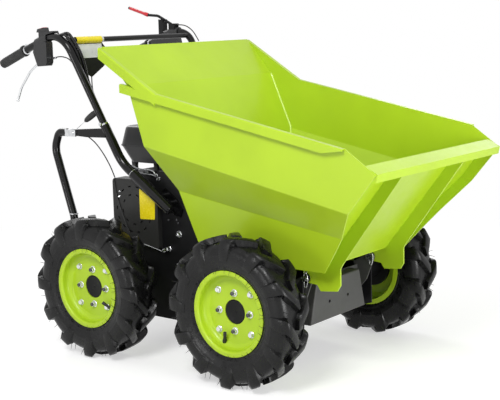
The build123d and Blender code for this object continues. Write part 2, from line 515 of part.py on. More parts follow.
# brake lever box, lever and stop switch on the right, drive lever on the left
BOX_T, COLLAR_R = 26.0, TUBE_R + 4
right_box = side_prism([(526, 864), (509, 823), (474, 825), (468, 836), (468, 896), (520, 888)],
                       GRIP_X - BOX_T / 2, GRIP_X + BOX_T / 2)
right_box = fillet(right_box.edges().filter_by(Axis.X), 5)
right_box += bar(HAND_RUN[1:4], HAND_BENDS[1:2], COLLAR_R) & box(200, 300, 468, 520, 860, 940)
left_box = side_prism([(556, 866), (550, 886), (444, 896), (436, 868), (456, 836), (506, 822), (546, 836)],
                      GRIP_X - BOX_T / 2, GRIP_X + BOX_T / 2)
left_box = fillet(left_box.edges().filter_by(Axis.X), 7)
left_box += bar(HAND_RUN[1:4], HAND_BENDS[1:2], COLLAR_R) & box(200, 300, 440, 560, 860, 940)
boxes = [mirrored(right_box - solid_tube), left_box - solid_tube]
save("lever_boxes", Compound(children=[b.solids().sort_by(SortBy.VOLUME)[-1] for b in boxes]))
BRAKE_R, LEVER_R = 3.5, 4.5
squeeze = bar([(GRIP_X, 508, 838), (GRIP_X, 557, 806), (GRIP_X, 600, 758), (GRIP_X, 619, 720)], [60, 60], BRAKE_R)
squeeze += Pos(GRIP_X, 619, 720) * Sphere(BRAKE_R + 1.5)
squeeze -= right_box
save("brake_lever", mirrored(squeeze))
drive = bar([(GRIP_X, 660, 990.4), (GRIP_X, 573, 965), (GRIP_X, 530, 962), (GRIP_X, 472, 934)], [60, 40], LEVER_R)
drive += Pos(GRIP_X, 660, 990.4) * Sphere(LEVER_R)
for y0, y1, z1 in ((450, 474, 936), (500, 518, 950)):
    strap = box(GRIP_X - 12, GRIP_X + 12, y0, y1, 900, z1)
    drive += strap - box(GRIP_X - 9, GRIP_X + 9, y0 - 1, y1 + 1, 890, z1 - 6)
drive -= bar(HAND_RUN[1:4], HAND_BENDS[1:2], COLLAR_R)
save("drive_lever", drive.solids().sort_by(SortBy.VOLUME)[-1])
switch = side_prism([(498, 905), (498, 922), (442, 926), (434, 912), (436, 902)], GRIP_X - 13, GRIP_X + 13)
switch += side_prism([(511, 922), (507, 932), (478, 936), (474, 922)], GRIP_X - 9, GRIP_X + 9)
switch -= bar(HAND_RUN[1:4], HAND_BENDS[1:2], COLLAR_R)
save("stop_switch", mirrored(switch.solids().sort_by(SortBy.VOLUME)[-1]))

# rear stays with clevis heads and the arms that hold them to the handlebar
STAY_BENDS = [60, 60, 22]
HEAD_Y, HEAD_Z = 452.0, 626.0
stay_run = [(STAY_X, STAY_Y, STAY_Z), (STAY_X, STAY_Y, 372), (STAY_X, 509, 577), (STAY_X, 488, HEAD_Z),
            (STAY_X, HEAD_Y, HEAD_Z)]
stay = bar(stay_run, STAY_BENDS, STAY_R)
stay += Pos(STAY_X, STAY_Y, STAY_Z + 12) * Cylinder(STAY_R + 5, 24)
clevis = box(STAY_X - 11, STAY_X + 11, 408, HEAD_Y, HEAD_Z - 10, HEAD_Z + 10)
clevis -= box(STAY_X - 6, STAY_X + 6, 400, HEAD_Y - 16, HEAD_Z - 16, HEAD_Z + 16)
clevis += disc(STAY_X - 14, STAY_X + 14, 420, HEAD_Z, 5)
arm = side_prism([(428, 619), (428, 634), (412, 637), (310, 644), (290, 640), (290, 618), (366, 616)],
                 STAY_X - 5.7, STAY_X + 5.7)
arm -= disc(STAY_X - 20, STAY_X + 20, 420, HEAD_Z, 5.3)
arm = (arm - lower_tube).solids().sort_by(SortBy.VOLUME)[-1]
save("stay_heads", both(clevis))
save("rear_stays", Compound(children=[stay, mirrored(stay), arm, mirrored(arm)]))

# control cables
CABLE_R = 1.7
CABLES = {  # name: points
    "brake": [(-262, 467.6, 846), (-262, 430, 853), (-259, 395, 845), (-252, 378, 815)],
    "drive": [(270, 449.6, 932), (270, 410, 930), (269, 378, 912), (266, 352, 880)],
    "shift": [(-217, 414, 624), (-217, 380, 617), (-217, 347, 598), (-214, 318, 565), (-204, 303, 528),
              (-192, 300, 496)],
    "guard": [(-188.8, 308, 492), (-188.8, 299, 440), (-188.8, 277, 385), (-188.8, 253, 335)],
    "dash": [(-170, 401, 789), (-190, 380, 757), (-205, 356, 724), (-213, 336, 690)],
}
cables = []
for name, points in CABLES.items():
    radii = cord_bends(points)
    cable = bar(points, radii, CABLE_R)
    run = FilletPolyline(*points, radius=radii).length
    print("cable", name, "length", round(run), "radii", [round(r) for r in radii],
          "volume over section", round(cable.volume / (pi * CABLE_R ** 2), 1))
    cables.append(cable)
save("control_cables", Compound(children=cables))
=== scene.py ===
"""Looks for a walk-behind mini site dumper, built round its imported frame.

Metres, +Z up. The tub's lip points to -Y, the operator stands at +Y and the machine's
right-hand side is -X. Every new piece is a surface worked out on a grid of two
parameters, or a profile carried along a path, and rides on one of the frame's bodies.
"""
from __future__ import annotations

import logging
from dataclasses import dataclass, field
from enum import Enum
from typing import Protocol, Sequence

import bmesh
import bpy
import numpy as np
from mathutils import Matrix, Vector
from numpy.typing import NDArray


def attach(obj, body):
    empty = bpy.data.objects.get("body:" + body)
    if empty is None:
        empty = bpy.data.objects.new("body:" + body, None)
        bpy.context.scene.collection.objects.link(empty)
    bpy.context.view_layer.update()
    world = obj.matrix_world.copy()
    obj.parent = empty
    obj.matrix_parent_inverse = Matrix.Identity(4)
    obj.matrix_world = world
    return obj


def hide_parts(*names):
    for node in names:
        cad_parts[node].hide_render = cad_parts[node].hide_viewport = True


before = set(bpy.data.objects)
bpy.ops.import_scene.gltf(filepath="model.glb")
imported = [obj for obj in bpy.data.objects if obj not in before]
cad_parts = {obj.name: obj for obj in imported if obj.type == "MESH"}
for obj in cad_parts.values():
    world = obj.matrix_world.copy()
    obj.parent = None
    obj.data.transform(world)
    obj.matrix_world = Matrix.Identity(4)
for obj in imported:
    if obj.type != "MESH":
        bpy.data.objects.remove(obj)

Array = NDArray[np.float64]
Pair = tuple[float, float]
Point = tuple[float, float, float]
Colour = tuple[float, float, float]
Socket = bpy.types.NodeSocket
LOG = logging.getLogger("dumper")
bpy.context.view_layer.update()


class Body(str, Enum):
    """The frame's moving bodies."""

    CHASSIS = "chassis"
    TUB = "tub"
    FRONT_RIGHT = "wheel_front_right"
    FRONT_LEFT = "wheel_front_left"
    REAR_RIGHT = "wheel_rear_right"
    REAR_LEFT = "wheel_rear_left"


class Slot(str, Enum):
    """The record's material slots, passed with each new piece but not used to dress it."""

    GREEN = "green_paint"
    BLACK = "black_paint"
    TYRE = "tyre_rubber"
    RUBBER = "grip_rubber"
    ZINC = "zinc"
    PLASTIC = "black_plastic"


# ---------------------------------------------------------------- finishes
class Canvas:
    """A material's node tree with one Principled shader and short calls to add nodes."""

    def __init__(self, name: str) -> None:
        """Makes the material.

        Args:
            name: the material's name.
        """
        self.material = bpy.data.materials.new(name)
        self.material.use_nodes = True
        self.tree = self.material.node_tree
        self.tree.nodes.clear()
        self.output = self.tree.nodes.new("ShaderNodeOutputMaterial")
        self.shader = self.tree.nodes.new("ShaderNodeBsdfPrincipled")
        self.tree.links.new(self.shader.outputs[0], self.output.inputs[0])
        self.place = self.tree.nodes.new("ShaderNodeTexCoord").outputs["Object"]

    def link(self, source: Socket, target: Socket) -> None:
        """Joins two sockets."""
        self.tree.links.new(source, target)

    def noise(self, scale: float, detail: float = 4.0, rough: float = 0.5) -> Socket:
        """Fractal noise on Object coordinates.

        Args:
            scale: features per metre.
            detail: octaves.
            rough: how strong the small octaves are.

        Returns:
            The noise's value socket.
        """
        node = self.tree.nodes.new("ShaderNodeTexNoise")
        node.inputs["Scale"].default_value = scale
        node.inputs["Detail"].default_value = detail
        node.inputs["Roughness"].default_value = rough
        self.link(self.place, node.inputs["Vector"])
        return node.outputs["Fac"]

    def cells(self, scale: float) -> Socket:
        """Distance to the nearest cell centre of a Voronoi pattern, per metre scale."""
        node = self.tree.nodes.new("ShaderNodeTexVoronoi")
        node.inputs["Scale"].default_value = scale
        self.link(self.place, node.inputs["Vector"])
        return node.outputs["Distance"]

    def span(self, value: Socket, low: float, high: float,
             start: float = 0.3, end: float = 0.7) -> Socket:
        """Maps a value from start..end to low..high.

        Args:
            value: the socket to map.
            low: result at start.
            high: result at end.
            start: value that gives low.
            end: value that gives high.

        Returns:
            The mapped socket.
        """
        node = self.tree.nodes.new("ShaderNodeMapRange")
        limits = (("From Min", start), ("From Max", end), ("To Min", low), ("To Max", high))
        for name, number in limits:
            node.inputs[name].default_value = number
        self.link(value, node.inputs["Value"])
        return node.outputs["Result"]

    def ramp(self, value: Socket,
             stops: Sequence[tuple[float, Colour]]) -> Socket:
        """Colours a value.

        Args:
            value: the socket to colour.
            stops: positions and colours.

        Returns:
            The colour socket.
        """
        node = self.tree.nodes.new("ShaderNodeValToRGB")
        line = node.color_ramp.elements
        while len(line) < len(stops):
            line.new(0.5)
        for element, (position, colour) in zip(line, stops):
            element.position = position
            element.color = (*colour, 1.0)
        self.link(value, node.inputs["Fac"])
        return node.outputs["Color"]

    def bump(self, height: Socket, strength: float, distance: float,
             after: Socket | None = None) -> Socket:
        """A bump from a height.

        Args:
            height: the height socket.
            strength: how much of it shows.
            distance: metres of height for a value of one.
            after: a bump to add to.

        Returns:
            The normal socket.
        """
        node = self.tree.nodes.new("ShaderNodeBump")
        node.inputs["Strength"].default_value = strength
        node.inputs["Distance"].default_value = distance
        self.link(height, node.inputs["Height"])
        if after is not None:
            self.link(after, node.inputs["Normal"])
        return node.outputs["Normal"]

    def set(self, **values: float | tuple) -> None:
        """Sets the shader's own sockets by name, with _ for a space."""
        for name, value in values.items():
            self.shader.inputs[name.replace("_", " ")].default_value = value

    def feed(self, name: str, source: Socket) -> None:
        """Feeds one of the shader's sockets."""
        self.link(source, self.shader.inputs[name])

    def paint(self, value: Socket, stops: Sequence[tuple[float, Colour]]) -> None:
        """Feeds the base colour from a value through a ramp of positions and colours."""
        self.feed("Base Color", self.ramp(value, stops))

    def roughen(self, value: Socket, middle: float, below: float, above: float) -> None:
        """Feeds the roughness from a value, from middle - below to middle + above."""
        self.feed("Roughness", self.span(value, middle - below, middle + above))

    def math(self, operation: str, first: Socket, second: Socket | float) -> Socket:
        """Joins two values by an operation.

        Args:
            operation: the Math node's operation.
            first: the first value.
            second: the second, as a socket or a number.

        Returns:
            The result's socket.
        """
        node = self.tree.nodes.new("ShaderNodeMath")
        node.operation = operation
        self.link(first, node.inputs[0])
        if isinstance(second, float):
            node.inputs[1].default_value = second
        else:
            self.link(second, node.inputs[1])
        return node.outputs[0]


def shade(colour: Colour, factor: float) -> Colour:
    """A colour times a factor, kept under one."""
    return tuple(min(1.0, c * factor) for c in colour)  # type: ignore[return-value]


class Finish(Protocol):
    """Anything that can make a material."""

    def material(self) -> bpy.types.Material:
        """Makes the material."""


@dataclass(frozen=True)
class PowderCoat:
    """Powder-coated sheet: gloss coat with orange peel, slow tone drift and fine dust."""

    name: str
    colour: Colour
    roughness: float = 0.32
    coat: float = 0.35
    drift: float = 0.05
    peel: float = 0.05
    gloss: float = 0.5

    def material(self) -> bpy.types.Material:
        """Tone = colour times 1 +- drift by slow noise; peel = bump from 3 mm noise."""
        c = Canvas(self.name)
        tone = c.noise(5.0, 3.0)
        c.paint(tone, [(0.35, shade(self.colour, 1 - self.drift)), (0.5, self.colour),
                       (0.66, shade(self.colour, 1 + self.drift))])
        c.roughen(c.noise(38.0, 6.0, 0.6), self.roughness, 0.05, 0.08)
        c.feed("Normal", c.bump(c.noise(330.0, 2.0), self.peel, 0.0006))
        c.set(Coat_Weight=self.coat, Coat_Roughness=0.12, Specular_IOR_Level=self.gloss)
        return c.material


@dataclass(frozen=True)
class Rubber:
    """Moulded rubber: matt, slightly dusty, with fine grain."""

    name: str
    colour: Colour
    dust: Colour = (0.09, 0.088, 0.084)
    roughness: float = 0.62
    grain: float = 0.35
    grain_scale: float = 700.0
    gloss: float = 0.42
    waves: float = 0.12

    def material(self) -> bpy.types.Material:
        """Colour runs from the rubber to its dust by noise; grain = bump from fine noise."""
        c = Canvas(self.name)
        c.paint(c.noise(24.0, 8.0, 0.62), [(0.42, self.colour), (0.62, shade(self.colour, 1.5)),
                                           (0.8, self.dust)])
        c.roughen(c.noise(60.0, 5.0), self.roughness, 0.08, 0.16)
        fine = c.bump(c.noise(self.grain_scale, 3.0), self.grain, 0.0004)
        c.feed("Normal", c.bump(c.noise(90.0, 3.0), self.waves, 0.0012, fine))
        c.set(Specular_IOR_Level=self.gloss)
        return c.material


@dataclass(frozen=True)
class Metal:
    """Bare or plated metal: mottled reflection, fine scratches and stains."""

    name: str
    colour: Colour
    roughness: float = 0.3
    stain: float = 0.85

    def material(self) -> bpy.types.Material:
        """Tone = colour down to stain by noise; roughness by finer noise; bump from 1 mm noise."""
        c = Canvas(self.name)
        c.paint(c.noise(70.0, 6.0, 0.6), [(0.36, shade(self.colour, self.stain)),
                                          (0.62, self.colour)])
        c.roughen(c.noise(240.0, 4.0), self.roughness, 0.07, 0.12)
        c.feed("Normal", c.bump(c.noise(900.0, 2.0), 0.12, 0.0003))
        c.set(Metallic=1.0)
        return c.material


@dataclass(frozen=True)
class CastMetal:
    """Die-cast alloy: grainy skin, half-rough, darker in blotches."""

    name: str
    colour: Colour
    roughness: float = 0.45

    def material(self) -> bpy.types.Material:
        """Grain = bump from cells 1.2 mm wide over noise; tone drifts by noise."""
        c = Canvas(self.name)
        c.paint(c.noise(45.0, 6.0, 0.65), [(0.35, shade(self.colour, 0.78)), (0.65, self.colour)])
        c.roughen(c.noise(160.0, 4.0), self.roughness, 0.08, 0.14)
        under = c.bump(c.noise(300.0, 3.0), 0.2, 0.0006)
        c.feed("Normal", c.bump(c.cells(820.0), 0.3, 0.0005, under))
        c.set(Metallic=0.85)
        return c.material


@dataclass(frozen=True)
class Plastic:
    """Moulded plastic with a fine eroded texture."""

    name: str
    colour: Colour
    roughness: float = 0.45
    texture: float = 0.18
    gloss: float = 0.5

    def material(self) -> bpy.types.Material:
        """Texture = bump from cells under 1 mm; roughness and tone drift by noise."""
        c = Canvas(self.name)
        c.paint(c.noise(30.0, 5.0), [(0.35, shade(self.colour, 0.9)), (0.65, self.colour)])
        c.roughen(c.noise(110.0, 4.0), self.roughness, 0.06, 0.08)
        c.feed("Normal", c.bump(c.cells(1400.0), self.texture, 0.0002))
        c.set(Specular_IOR_Level=self.gloss)
        return c.material


GREEN = PowderCoat("green_powder_coat", (0.40, 0.575, 0.018), roughness=0.34, coat=0.08, gloss=0.36)
BLACK = PowderCoat("black_powder_coat", (0.006, 0.006, 0.0065), roughness=0.4, coat=0.0, drift=0.15,
                   gloss=0.22)
TUBE_BLACK = PowderCoat("black_tube_enamel", (0.004, 0.004, 0.0045), roughness=0.15, coat=0.0,
                        drift=0.1, gloss=0.3)
GUARD_BLACK = PowderCoat("black_guard_coat", (0.022, 0.022, 0.021), roughness=0.45, coat=0.0,
                         drift=0.15, gloss=0.3)
CHARCOAL = PowderCoat("charcoal_powder_coat", (0.062, 0.062, 0.060), roughness=0.45, coat=0.0,
                      drift=0.1, gloss=0.3)
ENAMEL = PowderCoat("tank_enamel", (0.018, 0.018, 0.019), roughness=0.38, coat=0.1, drift=0.1,
                    gloss=0.35)
TYRE = Rubber("tyre_rubber", (0.0042, 0.0042, 0.0043), dust=(0.026, 0.026, 0.0255), roughness=0.27,
              grain=0.16, gloss=0.24, waves=0.35)
SOFT = Rubber("black_rubber", (0.014, 0.014, 0.014), dust=(0.03, 0.03, 0.03), roughness=0.55,
              grain=0.2)
ZINC = Metal("bright_zinc", (0.72, 0.73, 0.745), roughness=0.26)
DULL_ZINC = Metal("dull_zinc", (0.42, 0.43, 0.44), roughness=0.35)
ALLOY = CastMetal("cast_alloy", (0.60, 0.61, 0.62))
# A darker copy of the cast alloy for the engine block: painted shade.
SHADED_ALLOY = CastMetal("cast_alloy_painted_shade", (0.16, 0.16, 0.165), roughness=0.5)
# Paler than GREEN: a painted highlight along the weld beads.
WELD_PAINTED_HIGHLIGHT = PowderCoat("green_weld_bead_painted_highlight", (0.56, 0.73, 0.13), roughness=0.2, coat=0.5, peel=0.3)
MOULDED = Plastic("black_moulding", (0.018, 0.018, 0.019))
HUB_BLACK = Plastic("deep_black_cap", (0.005, 0.005, 0.005), roughness=0.35, gloss=0.16)
SLEEVE = Plastic("black_cable_sleeve", (0.006, 0.006, 0.0065), roughness=0.28, texture=0.3,
                 gloss=0.3)
YELLOW = Plastic("yellow_sleeve", (0.86, 0.71, 0.012), roughness=0.25, texture=0.05)
RED = Plastic("red_moulding", (0.62, 0.02, 0.03), roughness=0.32, texture=0.05)
WHITE = Plastic("white_plate", (0.93, 0.94, 0.96), roughness=0.3, texture=0.03)
DARK_STEEL = Metal("dark_steel", (0.09, 0.09, 0.095), roughness=0.4)
HEAT = CastMetal("heat_dulled_steel", (0.22, 0.21, 0.2), roughness=0.5)


class Paintbox:
    """Makes each finish's material once."""

    def __init__(self) -> None:
        """Starts empty."""
        self.made: dict[str, bpy.types.Material] = {}

    def of(self, finish: Finish) -> bpy.types.Material:
        """The material of a finish."""
        name = finish.name  # type: ignore[attr-defined]
        if name not in self.made:
            self.made[name] = finish.material()
        return self.made[name]


PAINT = Paintbox()


# ---------------------------------------------------------------- surfaces
class Pile:
    """Collects grids and caps, and turns them into one closed mesh object."""

    def __init__(self) -> None:
        """Starts empty."""
        self.points: list[Array] = []
        self.faces: list[tuple[int, ...]] = []
        self.count = 0

    def grid(self, points: Array, wrap_u: bool = False, wrap_v: bool = False) -> Array:
        """Adds a grid of points joined by four-sided faces.

        Args:
            points: an array of shape (u, v, 3).
            wrap_u: join the last row to the first.
            wrap_v: join the last column to the first.

        Returns:
            The indices of the points, of shape (u, v).
        """
        nu, nv = points.shape[:2]
        index = np.arange(nu * nv).reshape(nu, nv) + self.count
        self.points.append(points.reshape(-1, 3))
        self.count += nu * nv
        rows = np.vstack([index, index[:1]]) if wrap_u else index
        rows = np.hstack([rows, rows[:, :1]]) if wrap_v else rows
        quads = np.stack([rows[:-1, :-1], rows[1:, :-1], rows[1:, 1:], rows[:-1, 1:]], axis=-1)
        self.faces += [tuple(q) for q in quads.reshape(-1, 4).tolist()]
        return index

    def cap(self, ring: Array) -> None:
        """Closes a ring of point indices with one face."""
        self.faces.append(tuple(int(i) for i in ring))

    def tube(self, path: Array, profile: Array, closed: bool = False) -> None:
        """Carries a closed profile along a path.

        A point is path(t) + a(t) * profile_x + b(t) * profile_y, where a and b are the two
        directions across the path's tangent.

        Args:
            path: points of shape (n, 3).
            profile: points across the path, of shape (m, 2) or (n, m, 2).
            closed: join the path's end to its start.
        """
        step = np.roll(path, -1, 0) - np.roll(path, 1, 0) if closed else np.gradient(path, axis=0)
        tangent = step / np.linalg.norm(step, axis=1, keepdims=True)
        spread = tangent.max(0) - tangent.min(0) + np.abs(tangent).mean(0)
        up = np.eye(3)[int(np.argmin(spread))]
        side = np.cross(tangent, up)
        side /= np.linalg.norm(side, axis=1, keepdims=True)
        other = np.cross(side, tangent)
        shape = profile if profile.ndim == 3 else np.repeat(profile[None], len(path), 0)
        points = (path[:, None] + side[:, None] * shape[..., :1] + other[:, None] * shape[..., 1:])
        index = self.grid(points, wrap_u=closed, wrap_v=True)
        if not closed:
            self.cap(index[0])
            self.cap(index[-1])

    def spin(self, profile: Array, centre: Sequence[float], axis: Sequence[float],
             turns: int = 32) -> None:
        """Turns an open profile from axis to axis, or a closed ring, about a line.

        A point is centre + axis * h + (cos t * e1 + sin t * e2) * r for a profile of (h, r).

        Args:
            profile: (height, radius) pairs. The first and last radii are capped if above zero.
            centre: a point of the axis.
            axis: the axis's direction.
            turns: points round the axis.
        """
        z = np.asarray(axis, float) / np.linalg.norm(axis)
        e1 = np.cross(z, np.eye(3)[int(np.argmin(np.abs(z)))])
        e1 /= np.linalg.norm(e1)
        e2 = np.cross(z, e1)
        t = np.linspace(0, 2 * np.pi, turns, endpoint=False)
        h, r = profile[:, 0], np.maximum(profile[:, 1], 1e-6)
        round_ = np.cos(t)[:, None, None] * e1 + np.sin(t)[:, None, None] * e2
        points = np.asarray(centre, float) + h[None, :, None] * z + round_ * r[None, :, None]
        index = self.grid(points, wrap_u=True)
        self.cap(index[::-1, 0])
        self.cap(index[:, -1])

    def plate(self, outline: Array, low: Array, high: Array) -> None:
        """A flat plate between an outline shifted to low and to high.

        Args:
            outline: points of shape (n, 3).
            low: offset of one face.
            high: offset of the other.
        """
        index = self.grid(np.stack([outline + low, outline + high], axis=1), wrap_u=True)
        self.cap(index[:, 0])
        self.cap(index[::-1, 1])

    def build(self, name: str, finish: Finish, body: Body, slot: Slot, bevel: float = 0.0,
              smooth_angle: float = 40.0) -> bpy.types.Object:
        """Makes the object, dresses it and puts it on its body.

        Args:
            name: the piece's name.
            finish: its finish.
            body: the body that it moves with.
            slot: the record's material slot; not used.
            bevel: width of rounded edges, in metres.
            smooth_angle: edges flatter than this are smooth, in degrees.

        Returns:
            The object.
        """
        mesh = bpy.data.meshes.new(name)
        mesh.from_pydata(np.vstack(self.points).tolist(), [], self.faces)
        work = bmesh.new()
        work.from_mesh(mesh)
        bmesh.ops.remove_doubles(work, verts=work.verts, dist=2e-6)
        bmesh.ops.dissolve_degenerate(work, edges=work.edges, dist=1e-7)
        bmesh.ops.recalc_face_normals(work, faces=work.faces)
        work.to_mesh(mesh)
        work.free()
        mesh.materials.append(PAINT.of(finish))
        piece = bpy.data.objects.new(name, mesh)
        bpy.context.scene.collection.objects.link(piece)
        if bevel:
            round_edges = piece.modifiers.new("edges", "BEVEL")
            round_edges.width = bevel
            round_edges.segments = 2
            round_edges.limit_method = "ANGLE"
            round_edges.angle_limit = np.radians(35)
        mesh.shade_smooth()
        mesh.set_sharp_from_angle(angle=np.radians(smooth_angle))
        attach(piece, body.value)
        LOG.info("%s: %d faces on %s", name, len(mesh.polygons), body.value)
        return piece


def ring(radius: float, points: int = 12) -> Array:
    """A circle of (x, y) points: radius * (cos t, sin t)."""
    t = np.linspace(0, 2 * np.pi, points, endpoint=False)
    return radius * np.stack([np.cos(t), np.sin(t)], axis=1)


def smooth_path(points: Sequence[Sequence[float]], steps: int = 12) -> Array:
    """A smooth path through points: Catmull-Rom, cubic in t between each pair.

    Args:
        points: the points, in metres.
        steps: points per span.

    Returns:
        The path's points.
    """
    p = np.asarray(points, float)
    p = np.vstack([2 * p[0] - p[1], p, 2 * p[-1] - p[-2]])
    t = np.linspace(0, 1, steps, endpoint=False)[:, None, None]
    a, b, c, d = (p[i:len(p) - 3 + i][None] for i in range(4))
    span = 0.5 * (2 * b + (c - a) * t + (2 * a - 5 * b + 4 * c - d) * t ** 2
                  + (3 * b - a - 3 * c + d) * t ** 3)
    return np.vstack([span.transpose(1, 0, 2).reshape(-1, 3), p[-2][None]])


def mirror_x(point: Array) -> Array:
    """The same point or direction on the machine's other side."""
    return point * (-1, 1, 1)


def outline_yz(x: float, corners: Sequence[Pair], radius: float, steps: int = 5) -> Array:
    """A polygon in the plane X = x with its corners rounded by quadratic arcs.

    Args:
        x: the plane.
        corners: (y, z) corners.
        radius: distance from a corner to its arc's ends.
        steps: points on an arc.

    Returns:
        The outline's points.
    """
    p = np.asarray(corners, float)
    before, after = np.roll(p, 1, 0) - p, np.roll(p, -1, 0) - p
    start = p + before / np.linalg.norm(before, axis=1, keepdims=True) * radius
    end = p + after / np.linalg.norm(after, axis=1, keepdims=True) * radius
    t = np.linspace(0, 1, steps)[None, :, None]
    arc = (1 - t) ** 2 * start[:, None] + 2 * t * (1 - t) * p[:, None] + t ** 2 * end[:, None]
    yz = arc.reshape(-1, 2)
    return np.column_stack([np.full(len(yz), x), yz])


def hex_profile(pile: Pile, centre: Sequence[float], axis: Sequence[float], across: float,
                height: float) -> None:
    """A hexagon head with a chamfered top: six-sided rings joined along the axis.

    Args:
        pile: where it goes.
        centre: middle of its seat.
        axis: direction away from the seat.
        across: width across flats.
        height: height above the seat.
    """
    r = across / 2 / np.cos(np.pi / 6)
    pile.spin(np.array([(0, r), (height * 0.8, r), (height, r * 0.86)]), centre, axis, 6)


def fastener(pile: Pile, centre: Sequence[float], axis: Sequence[float], across: float = 0.013,
             height: float = 0.006, washer: float = 0.0) -> None:
    """A hexagon head on an optional round washer.

    Args:
        pile: where it goes.
        centre: middle of its seat.
        axis: direction away from the seat.
        across: width across flats.
        height: head height.
        washer: washer radius, or 0 for none.
    """
    base = np.asarray(centre, float)
    way = np.asarray(axis, float) / np.linalg.norm(axis)
    if washer:
        disc = np.array([(0, washer), (0.0011, washer), (0.0016, washer - 0.0006)])
        pile.spin(disc, base, way, 20)
        base = base + way * 0.0015
    hex_profile(pile, base, way, across, height)


# ---------------------------------------------------------------- studio
@dataclass
class Studio:
    """Camera, lamps, world and floor."""

    camera_place: Point = (-2.574839, -2.078240, 0.964469)
    camera_right: Point = (0.6152241, -0.78801122, -0.02318695)
    camera_up: Point = (0.14093487, 0.08099881, 0.98669983)
    lens: float = 82.640
    floor_radius: float = 3.2
    floor_tone: float = 0.62
    floor_lift: float = 0.5
    floor_fade: Pair = (0.9, 2.2)
    world_level: float = 0.50
    aim: Point = (0.0, 0.0, 0.45)
    # name, place, size in metres, watts
    lamps: tuple[tuple[str, Point, float, float], ...] = (
        ("key", (-2.7, -0.9, 2.7), 1.1, 74.0),
        ("front_low", (-0.6, -3.2, 0.35), 1.6, 90.0),
        ("side_low", (-3.2, 0.75, 0.42), 0.45, 9.0),
        ("back_rim", (1.2, 2.8, 2.6), 1.4, 36.0),
        ("left_fill", (3.2, 0.4, 1.3), 1.6, 22.0),
    )

    def place_camera(self) -> None:
        """Columns of the camera's matrix are its right, its up and the way back from the view."""
        data = bpy.data.cameras.new("camera")
        data.sensor_width, data.lens = 36.0, self.lens
        camera = bpy.data.objects.new("camera", data)
        right, up = Vector(self.camera_right), Vector(self.camera_up)
        turn = Matrix((right, up, right.cross(up))).transposed().to_4x4()
        camera.matrix_world = Matrix.Translation(self.camera_place) @ turn
        bpy.context.scene.collection.objects.link(camera)
        bpy.context.scene.camera = camera

    def hang_lamps(self) -> None:
        """Square soft lamps, each aimed at the middle of the machine."""
        for name, place, size, power in self.lamps:
            data = bpy.data.lights.new(name, "AREA")
            data.size, data.energy = size, power
            lamp = bpy.data.objects.new(name, data)
            lamp.location = place
            way = Vector(self.aim) - Vector(place)
            lamp.rotation_euler = way.to_track_quat("-Z", "Y").to_euler()
            bpy.context.scene.collection.objects.link(lamp)

    def light_world(self) -> None:
        """White where it is seen directly, in gloss or through glass; soft light elsewhere."""
        world = bpy.data.worlds.new("studio")
        bpy.context.scene.world = world
        world.use_nodes = True
        tree = world.node_tree
        tree.nodes.clear()
        out = tree.nodes.new("ShaderNodeOutputWorld")
        mix = tree.nodes.new("ShaderNodeMixShader")
        path = tree.nodes.new("ShaderNodeLightPath")
        through = tree.nodes.new("ShaderNodeMath")
        direct = tree.nodes.new("ShaderNodeMath")
        through.operation = direct.operation = "MAXIMUM"
        soft = tree.nodes.new("ShaderNodeBackground")
        white = tree.nodes.new("ShaderNodeBackground")
        soft.inputs["Strength"].default_value = self.world_level
        white.inputs["Strength"].default_value = 1.0
        for node in (soft, white):
            node.inputs["Color"].default_value = (1, 1, 1, 1)
        tree.links.new(path.outputs["Is Camera Ray"], through.inputs[0])
        tree.links.new(path.outputs["Is Transmission Ray"], through.inputs[1])
        tree.links.new(through.outputs[0], direct.inputs[0])
        tree.links.new(path.outputs["Is Glossy Ray"], direct.inputs[1])
        tree.links.new(direct.outputs[0], mix.inputs["Fac"])
        tree.links.new(soft.outputs[0], mix.inputs[1])
        tree.links.new(white.outputs[0], mix.inputs[2])
        tree.links.new(mix.outputs[0], out.inputs["Surface"])

    def lay_floor(self) -> None:
        """A disc r * (cos t, sin t) whose paint fades to plain white towards its edge."""
        pile = Pile()
        t = np.linspace(0, 2 * np.pi, 96, endpoint=False)
        r = np.array([0.0001, self.floor_radius])
        flat = r[None, :, None] * np.stack([np.cos(t), np.sin(t), 0 * t], axis=1)[:, None, :]
        index = pile.grid(flat, wrap_u=True)
        pile.cap(index[:, 0])
        mesh = bpy.data.meshes.new("floor")
        mesh.from_pydata((np.vstack(pile.points) - (0, 0, 0.0005)).tolist(), [], pile.faces)
        mesh.materials.append(self.floor_paint())
        floor = bpy.data.objects.new("floor", mesh)
        bpy.context.scene.collection.objects.link(floor)
        if mesh.polygons[1].normal.z < 0:
            mesh.flip_normals()

    def floor_paint(self) -> bpy.types.Material:
        """Pale matt paint lifted to white for the camera, and pure white far from the machine."""
        c = Canvas("floor_paint")
        tone = self.floor_tone
        c.set(Base_Color=(tone, tone, tone, 1), Roughness=0.9, Specular_IOR_Level=0.0)
        path = c.tree.nodes.new("ShaderNodeLightPath")
        mirrored = c.math("MAXIMUM", path.outputs["Is Camera Ray"], path.outputs["Is Glossy Ray"])
        c.set(Emission_Color=(1, 1, 1, 1))
        c.feed("Emission Strength", c.math("MULTIPLY", mirrored, self.floor_lift))
        length = c.tree.nodes.new("ShaderNodeVectorMath")
        length.operation = "LENGTH"
        c.link(c.place, length.inputs[0])
        far = c.span(length.outputs["Value"], 0.0, 1.0, *self.floor_fade)
        glow = c.tree.nodes.new("ShaderNodeEmission")
        mix = c.tree.nodes.new("ShaderNodeMixShader")
        c.link(c.math("MULTIPLY", path.outputs["Is Camera Ray"], far), mix.inputs["Fac"])
        c.link(c.shader.outputs[0], mix.inputs[1])
        c.link(glow.outputs[0], mix.inputs[2])
        c.link(mix.outputs[0], c.output.inputs[0])
        return c.material

    def build(self) -> None:
        """Sets the view, the lamps, the world and the floor."""
        bpy.context.scene.view_settings.view_transform = "Standard"
        self.place_camera()
        self.hang_lamps()
        self.light_world()
        self.lay_floor()


